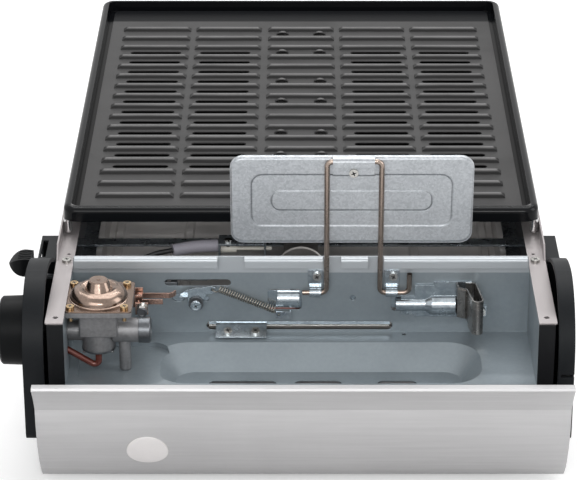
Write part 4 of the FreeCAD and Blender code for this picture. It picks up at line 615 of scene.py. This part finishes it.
# %% Dress the solids
slot_of = {entry["node"]: entry["material_slot"] for entry in frame["record"]["subparts"]}
closer_look = {"regulator_cap": "bronze_cap", "regulator_screws": "gold_screw",
               "pusher_clip": "clip_steel", "corner_posts": "black_post",
               "lead_sleeve": "grey_sleeve", "ignition_lead": "black_lead",
               "can_slider": "slider_steel", "slot_bracket": "slider_steel", "wire_clips": "slider_steel",
               "latch_lever": "slider_steel", "lock_lever": "zinc_cap", "lever_bracket": "zinc_cap",
               "latch_bolt": "zinc_cap"}
for name, thing in nodes.items():
    thing.data.materials.clear()
    thing.data.materials.append(finishes[closer_look.get(name, slot_of[name])])
worn = {thing.data.materials[0].name for thing in nodes.values()}
print("dressed", len(nodes), "nodes with", len(worn), "finishes")

# %% [markdown]
# ## Crosses on the screws
# A pan-head screw reads as one by the dark cross in its head. On the real screw the cross is sunk.
# Sinking it here would mean cutting a solid that is right as it is, so each cross is a thin shape
# of painted shade, one or two hundredths of a millimetre proud of the head. On a grid of angle and
# radius, the outline's radius is large near the four arm directions and small between them.

# %% Grid, piece and cross helpers
CROSS_LIFT = 0.00035


def grid_mesh(name, points, closed_round=True):
    """A mesh over a grid of points, rows by columns. Its columns close on themselves, or stay open."""
    rows, columns, _ = points.shape
    index = np.arange(rows * columns).reshape(rows, columns)
    if closed_round:
        index = np.concatenate([index, index[:, :1]], axis=1)
    corners = [index[:-1, :-1], index[:-1, 1:], index[1:, 1:], index[1:, :-1]]
    quads = np.stack(corners, axis=-1).reshape(-1, 4)
    mesh = bpy.data.meshes.new(name)
    mesh.from_pydata(points.reshape(-1, 3).tolist(), [], quads.tolist())
    mesh.update()
    return mesh


def add_piece(name, mesh, body, material):
    """A finished piece: its mesh, finish and body. A piece given no body stays unattached."""
    mesh.materials.append(material)
    thing = bpy.data.objects.new(name, mesh)
    scene.collection.objects.link(thing)
    if body is not None:
        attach(thing, body)
    return thing


def recess_points(radius, depth, arm=0.42):
    """Outline = radius x (arm + the rest x a narrow bump at each quarter turn). Rows run from the outline
    to the middle, and rise = each row's small share of depth."""
    angle = np.linspace(0, 2 * np.pi, 48, endpoint=False)
    bump = np.abs(np.cos(2 * angle)) ** 7
    outline = radius * (arm + (1 - arm) * bump)
    share = np.array([1.0, 0.97, 0.6, 0.3, 0.001])
    across = share[:, None] * outline[None, :]
    rise = np.array([0.02, 0.03, 0.022, 0.014, 0.01])[:, None] * depth * np.ones_like(across)
    return np.stack([across * np.cos(angle), across * np.sin(angle), rise], axis=-1)


def facing(points, centre, normal, turn=0.0):
    """Turns a pattern made about +Z to face along normal and moves it to centre."""
    normal = np.array(normal, float) / np.linalg.norm(normal)
    helper = np.array([0, 0, 1.0]) if abs(normal[2]) < 0.9 else np.array([0, 1.0, 0])
    side = np.cross(helper, normal)
    side /= np.linalg.norm(side)
    up = np.cross(normal, side)
    across = side * math.cos(turn) + up * math.sin(turn)
    over = -side * math.sin(turn) + up * math.cos(turn)
    return (np.array(centre) + points[..., :1] * across + points[..., 1:2] * over
            + points[..., 2:] * normal)


def cross_recesses(name, body, heads):
    """One piece for the crosses of a set of screws: (centre, normal, radius, turn) each."""
    piles = [facing(recess_points(radius, CROSS_LIFT), centre, normal, turn)
             for centre, normal, radius, turn in heads]
    rows, columns = piles[0].shape[:2]
    points = np.concatenate([pile.reshape(-1, 3) for pile in piles])
    base = np.arange(rows * columns).reshape(rows, columns)
    after = np.roll(base, -1, axis=1)
    one = np.stack([base[:-1], after[:-1], after[1:], base[1:]], axis=-1).reshape(-1, 4)
    quads = np.concatenate([one + rows * columns * number for number in range(len(piles))])
    mesh = bpy.data.meshes.new(name)
    mesh.from_pydata(points.tolist(), [], quads.tolist())
    add_piece(name, mesh, body, finishes["recess_shadow"])


print("one cross has", recess_points(1.0, CROSS_LIFT)[..., 0].size, "points")

# %% [markdown]
# ## Where the crosses lie
# Each row gives the middle of a screw's head, the way it faces, the cross's radius and its turn.
# Real screws stop at any angle, so the turns differ. A search for round faces could find the
# heads, but it would find pins and rivets too.

# %% Crosses on every visible screw
up = (0, 0, 1)
front = (0, -1, 0)
bracket_way = (0, -0.416, 0.909)
leaning = (0, -0.9925, -0.1219)
cross_recesses("clip_screw_recesses", "base",
               [(at(9.8, -2.6, 104.5), front, 0.0017, 0.5), (at(56.6, -2.6, 104.5), front, 0.0017, 1.1)])
cross_recesses("bracket_screw_recesses", "base",
               [(at(-45, -7.22, 70.64), bracket_way, 0.0017, 0.2),
                (at(-28, -7.22, 70.64), bracket_way, 0.0017, 0.8)])
cross_recesses("burner_screw_recess", "base", [(at(-46, 50, 105.6), up, 0.0017, 0.5)])
cross_recesses("clamp_screw_recess", "heat_shield", [(at(31.5, -14.31, 178.77), leaning, 0.0018, 0.4)])
cross_recesses("pusher_screw_recess", "slider", [(at(110.8, -3.0, 80.6), front, 0.0019, 0.3)])
cross_recesses("rail_screw_recesses", "base",
               [(at(-144, 7.5, 112.3), up, 0.0019, 0.3), (at(144, 7.5, 112.3), up, 0.0019, 0.9)])
cross_recesses("regulator_screw_recesses", "base",
               [(at(-121 + 16 * a, -39 + 16 * b, 111.2), up, 0.0018, 0.4 + a + b)
                for a in (-1, 1) for b in (-1, 1)])

# %% [markdown]
# ## The latch's extension spring
# The solid spring is fixed to the bay, but the real one follows the lever when it swings. The
# spring is made again as one wire: a hook, a coil and a hook, each a stretch of points, with a
# round section carried along them. Rings that share one outward direction keep the wire from
# twisting: it is the radius on the coil, and the hook's own plane normal on the hooks, and the two
# agree where they meet.

# %% The spring's centre line
hook_left, hook_right = np.array([-54.4, -2.9, 96.4]), np.array([-13.6, -2.9, 79.2])
curls, wire_radius, mean_radius, hook_radius = 24, 0.4, 2.0, 1.7
steps_per_curl = 24
hook_from, hook_to, hook_steps = -90, 125, 40
span_way = (hook_right - hook_left) / np.linalg.norm(hook_right - hook_left)
outward_way = np.array([0, -1.0, 0])
side_way = np.cross(span_way, outward_way)
coil_start = hook_left + span_way * 2 * hook_radius - side_way * mean_radius
coil_end = hook_right - span_way * 2 * hook_radius - side_way * mean_radius
pitch = np.dot(coil_end - coil_start, span_way) / curls


def coil_line(turns):
    """Point = start + pitch x turn along the axis + mean radius at the turn's angle. Also gives the
    radius direction."""
    angle = 2 * np.pi * turns[:, None]
    radial = side_way * np.cos(angle) + outward_way * np.sin(angle)
    return coil_start + span_way * pitch * turns[:, None] + radial * mean_radius, radial


def hook_line(turn, outward):
    """An arc of the hook's radius beyond the coil, round by 215 degrees from the coil's end. Also gives
    the normal of its plane."""
    point, radial = coil_line(np.array([float(turn)]))
    flat = np.cross(span_way, radial[0]) * np.sign(np.dot(outward, span_way))
    centre = point[0] + outward * hook_radius
    angle = np.radians(np.linspace(hook_from, hook_to, hook_steps))[:, None]
    line = centre + hook_radius * (flat * np.cos(angle) + outward * np.sin(angle))
    return line, np.broadcast_to(radial[0], line.shape)


print("pitch", round(pitch, 3), "mm")

# %% [markdown]
# ## The wire round that line
# A bevelled curve would make the same wire, but its twist is harder to steer.

# %% The spring as a wire
TIP_SHARE = 0.01


def wire_points(line, outside, radius, columns=10):
    """Ring = centre + radius x (outside x cos + across x sin), where across is the way along crossed with
    outside. The two end rings shrink almost to a point."""
    along = np.gradient(line, axis=0)
    along /= np.linalg.norm(along, axis=1)[:, None]
    outside = outside - along * np.sum(along * outside, axis=1)[:, None]
    outside /= np.linalg.norm(outside, axis=1)[:, None]
    across = np.cross(along, outside)
    angle = np.linspace(0, 2 * np.pi, columns, endpoint=False)[None, :, None]
    thick = np.full(len(line), radius)
    thick[[0, -1]] = radius * TIP_SHARE
    ring = outside[:, None] * np.cos(angle) + across[:, None] * np.sin(angle)
    return line[:, None] + ring * thick[:, None, None]


coil, coil_outside = coil_line(np.linspace(0, curls, curls * steps_per_curl + 1))
left_hook, left_outside = hook_line(0, -span_way)
right_hook, right_outside = hook_line(curls, span_way)
spring_line = np.concatenate([left_hook[::-1], coil[1:-1], right_hook])
spring_outside = np.concatenate([left_outside, coil_outside[1:-1], right_outside])
rings = wire_points(spring_line, spring_outside, wire_radius)
spring_mesh = grid_mesh("extension_spring", rings / 1000 + np.array([MIDDLE_X, WALL_Y, 0.0]))
spring = add_piece("extension_spring", spring_mesh, None, finishes["spring_steel"])
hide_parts("latch_spring")
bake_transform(spring)
print("spring rings", len(spring_line), "faces", len(spring_mesh.polygons))

# %% [markdown]
# ## Hexagon bolt heads
# The two bolts that a spanner holds have six flats over a round collar. The outline's radius is
# the flat's distance divided by the cosine of the angle from the nearest flat's middle, and the
# rows run from the collar's edge up the flats to a shallow turned dish on top. Each head is a
# shell without a back that caps the plain hexagon of the solid bolt, which has neither.

# %% Hexagon heads
BOLT_TURN = 0.2


def hexagon_points(across_flats, height, collar, columns=48):
    """Radius = half the flats over cos(angle from the nearest flat's middle). Rows climb from the collar
    to the dish."""
    angle = np.linspace(0, 2 * np.pi, columns, endpoint=False)
    from_flat = (angle + np.pi / 6) % (np.pi / 3) - np.pi / 6
    flats = 0.5 * across_flats / np.cos(from_flat)
    rounds = np.ones_like(angle)
    inner = 0.5 * across_flats
    rows = [(collar * rounds, 0.0), (collar * rounds, 0.22), (flats, 0.24), (flats, 0.86),
            (0.5 * (flats + inner * rounds), 0.97), (0.82 * inner * rounds, 1.0),
            (0.66 * inner * rounds, 0.84), (0.001 * inner * rounds, 0.82)]
    reach = np.stack([row[0] for row in rows])
    rise = np.array([row[1] for row in rows])[:, None] * height * np.ones_like(reach)
    return np.stack([reach * np.cos(angle), reach * np.sin(angle), rise], axis=-1)


def bolt_head(name, body, centre, normal, across_flats, height, collar, material):
    """One hexagon head that stands on a point and faces along a direction."""
    points = facing(hexagon_points(across_flats, height, collar), centre, normal, BOLT_TURN)
    mesh = grid_mesh(name, points)
    add_piece(name, mesh, body, material)


bolt_head("trip_bolt_head", "base", at(-95.6, -37.2, 98), front, 0.0052, 0.0011, 0.0031,
          finishes["zinc_cap"])
bolt_head("latch_bolt_head", "base", at(-64.5, -7.19, 87.3), front, 0.0058, 0.0009, 0.0034,
          finishes["slider_steel"])
cross_recesses("latch_bolt_recess", "base", [(at(-64.5, -7.95, 87.3), front, 0.0013, 0.6)])
print("bolt heads made")

# %% [markdown]
# ## The front cover and its plate
# The cover is one sheet pressed along its length: a turned lip, a flared neck, a round belly and a
# turned-in foot. The solid has a recess for its plate, lower than on the real grill, so the cover
# is made again without that recess: one section of lines and arcs, carried along X. A patch over
# the recess would be quicker, but its edge would show in the shine. All the section's numbers are
# millimetres, depth and height, in the order in which the outline runs.

# %% The cover's section
FLARE_RADIUS = 90
BELLY_RADIUS = 81
SHEET_THICKNESS = 1.8
COVER_MIDDLE, COVER_HALF = 1.3, 157.8


def arc_points(start, end, radius, steps=36):
    """Points from start up to end on a circle: centre = chord's middle + its left side x height, where a
    negative radius puts the centre on the right. Without a radius it is the start alone."""
    start, end = np.array(start, float), np.array(end, float)
    if radius is None:
        return start[None, :]
    chord = end - start
    length = np.linalg.norm(chord)
    left = np.array([-chord[1], chord[0]]) / length
    centre = (start + end) / 2 + np.sign(radius) * left * math.sqrt(radius ** 2 - length ** 2 / 4)
    first = math.atan2(*(start - centre)[::-1])
    sweep = np.sign(radius) * 2 * math.asin(length / (2 * abs(radius)))
    angle = first + sweep * np.arange(steps) / steps
    return centre + abs(radius) * np.stack([np.cos(angle), np.sin(angle)], axis=-1)


lip = [(-104, 84.4, None), (-108.7, 84.4, None)]
outer_face = [(-109.5, 83, -FLARE_RADIUS), (-94.4, 62.5, BELLY_RADIUS)]
foot = [(-67.6, 3.7, None), (-62.2, 7.1, None), (-63, 8.4, None)]
inner_face = [(-67.1, 6, SHEET_THICKNESS - BELLY_RADIUS), (-92.5, 62.6, FLARE_RADIUS),
              (-107.1, 82.4, None), (-104, 82.7, None)]
section = lip + outer_face + foot + inner_face
following = section[1:] + section[:1]
outline = np.concatenate(
    [arc_points(corner[:2], after[:2], corner[2]) for corner, after in zip(section, following)])
print("cover section", len(outline), "points")

# %% [markdown]
# ## The cover's sheet and its bare plate
# The sheet needs only the section at its two ends, because it is straight between them. The plate
# is round, and follows the belly's curve, so its edge lies close to the sheet all the way round. A
# flat disc would stand off by a millimetre at its top and foot.

# %% The cover and its plate
PLATE_RADIUS = 0.01245
PLATE_THICKNESS = 0.0007
PLATE_LEAN = math.radians(23.8)
PLATE_MIDDLE = at(-91.3, -87.5, 31.2)


def cover_sheet():
    """The section at both ends of the cover, joined by quads, with each end closed by one face."""
    depth_height = outline / 1000 + np.array([WALL_Y, 0])
    points = np.concatenate([np.insert(depth_height, 0, at(end, 0, 0)[0], axis=1)
                             for end in (COVER_MIDDLE - COVER_HALF, COVER_MIDDLE + COVER_HALF)])
    count = len(outline)
    near = np.arange(count)
    after = np.roll(near, -1)
    quads = np.stack([near, after, after + count, near + count], axis=-1).tolist()
    mesh = bpy.data.meshes.new("front_cover_sheet")
    mesh.from_pydata(points.tolist(), [], [*quads, near[::-1].tolist(), (near + count).tolist()])
    mesh.shade_smooth()
    mesh.set_sharp_from_angle(angle=math.radians(25))
    return mesh


def plate_points(radius, thickness):
    """Rows run from the back's middle over the rim to the front's middle; rise = the row's share of the
    thickness - the belly's fall at that height, up squared / (2 x belly radius)."""
    angle = np.linspace(0, 2 * np.pi, 96, endpoint=False)
    share = np.array([0.001, 0.97, 1.0, 1.0, 0.985, 0.95, 0.7, 0.35, 0.001])
    lift = np.array([-0.8, -0.8, -0.6, 0.55, 0.85, 1.0, 1.0, 1.0, 1.0])
    across = radius * share[:, None] * np.cos(angle)
    upward = radius * share[:, None] * np.sin(angle)
    rise = thickness * lift[:, None] - upward ** 2 / (2 * BELLY_RADIUS / 1000)
    return np.stack([across, upward, rise], axis=-1)


sheet_slot, plate_slot = slot_of["front_cover"], slot_of["badge"]
sheet = add_piece("front_cover_sheet", cover_sheet(), "cover", finishes[sheet_slot])
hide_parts("front_cover")
plate_way = (0, -math.cos(PLATE_LEAN), -math.sin(PLATE_LEAN))
bare_points = plate_points(PLATE_RADIUS, PLATE_THICKNESS)
plate_mesh = grid_mesh("badge_plate", facing(bare_points, PLATE_MIDDLE, plate_way))
plate_mesh.shade_smooth()
plate_mesh.set_sharp_from_angle(angle=math.radians(50))
bare_plate = add_piece("badge_plate", plate_mesh, "cover", finishes[plate_slot])
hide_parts("badge")
print("cover faces", len(sheet.data.polygons), "plate faces", len(bare_plate.data.polygons))

# %% [markdown]
# ## The channel behind the long slot
# Through the slot at the foot of the wall one sees a folded channel with a bright lip. A profile
# of a few points across is carried straight along the slot: the fold's corner is one row of the
# grid, and the lip is a narrow round bead in front of it. Only the front shows, so the channel has
# no thickness. Two boxes would be as quick, but the fold's corner is what catches the light.

# %% Channel and lip in the slot


def carried(profile, left, right, columns=2):
    """Points of a profile (y, z in millimetres) repeated at even steps from left to right."""
    across = np.linspace(left, right, columns)
    rows = np.array(profile, float)
    x = np.broadcast_to(across, (len(rows), columns))
    y = np.broadcast_to(rows[:, :1], (len(rows), columns))
    z = np.broadcast_to(rows[:, 1:], (len(rows), columns))
    shift = np.array([MIDDLE_X, WALL_Y, 0.0])
    return np.stack([x, y, z], axis=-1) / 1000 + shift


channel_line = [(2.6, 66.4), (4.6, 66.6), (4.9, 67.0), (3.6, 69.2), (3.5, 69.5), (4.9, 72.4), (4.7, 73.6),
                (2.6, 73.8)]
channel = grid_mesh("slot_channel", carried(channel_line, -57.6, 55.8), closed_round=False)
add_piece("slot_channel", channel, "base", finishes["burner_steel"])
turn = np.linspace(0, 2 * np.pi, 13)
LIP_RADIUS, LIP_DEPTH, LIP_HEIGHT = 0.42, 1.9, 69.45
lip_line = np.stack([LIP_DEPTH + LIP_RADIUS * np.cos(turn),
                     LIP_HEIGHT + LIP_RADIUS * np.sin(turn)], axis=-1)
bead = grid_mesh("slot_lip", carried(lip_line, -56.8, 54.4), closed_round=False)
add_piece("slot_lip", bead, "base", finishes["bright_screw"])
print("channel", len(channel.polygons), "lip", len(bead.polygons))

# %% [markdown]
# ## Pointer on the knob
# The knob's grip bar carries a painted stroke that shows the setting. It is a flat oblong with
# round ends: on a grid of angle and share, the outline's half length is the straight part plus
# the end's radius. The stroke lies just outside the knob's outermost plane, which is two tenths
# of a millimetre in front of the bar. A picture on the knob would do as well, but its faces would
# have to be unfolded first.

# %% Knob pointer
STROKE_LENGTH, STROKE_WIDTH = 0.009, 0.0016
STROKE_SINK = 0.00002
STROKE_ABOVE = 0.0105


def stroke_points(length, width, columns=40):
    """Outline = the straight half times the sign of the cosine, plus a round end of half the width. Rows
    shrink to its middle line."""
    angle = np.linspace(0, 2 * np.pi, columns, endpoint=False)
    radius = width / 2
    straight = (length / 2 - radius) * np.sign(np.cos(angle))
    share = np.array([1.0, 0.96, 0.5, 0.02])
    along = straight[None, :] + share[:, None] * radius * np.cos(angle)
    across = share[:, None] * radius * np.sin(angle)
    rise = np.array([0.0, 0.0001, 0.0001, 0.0001])[:, None] * np.ones_like(along)
    return np.stack([along, across, rise], axis=-1)


knob_low, knob_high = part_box("gas_knob")
knob_face = knob_low.x
knob_middle = ((knob_low.y + knob_high.y) / 2, (knob_low.z + knob_high.z) / 2)
pointer_centre = (knob_face + STROKE_SINK, knob_middle[0], knob_middle[1] + STROKE_ABOVE)
stroke = stroke_points(STROKE_LENGTH, STROKE_WIDTH)
pointer = grid_mesh("knob_pointer", facing(stroke, pointer_centre, (-1, 0, 0), math.pi / 2))
add_piece("knob_pointer", pointer, "knob", finishes["pointer_paint"])
print("knob face at", round(knob_face, 4), "middle", [round(value, 4) for value in knob_middle])
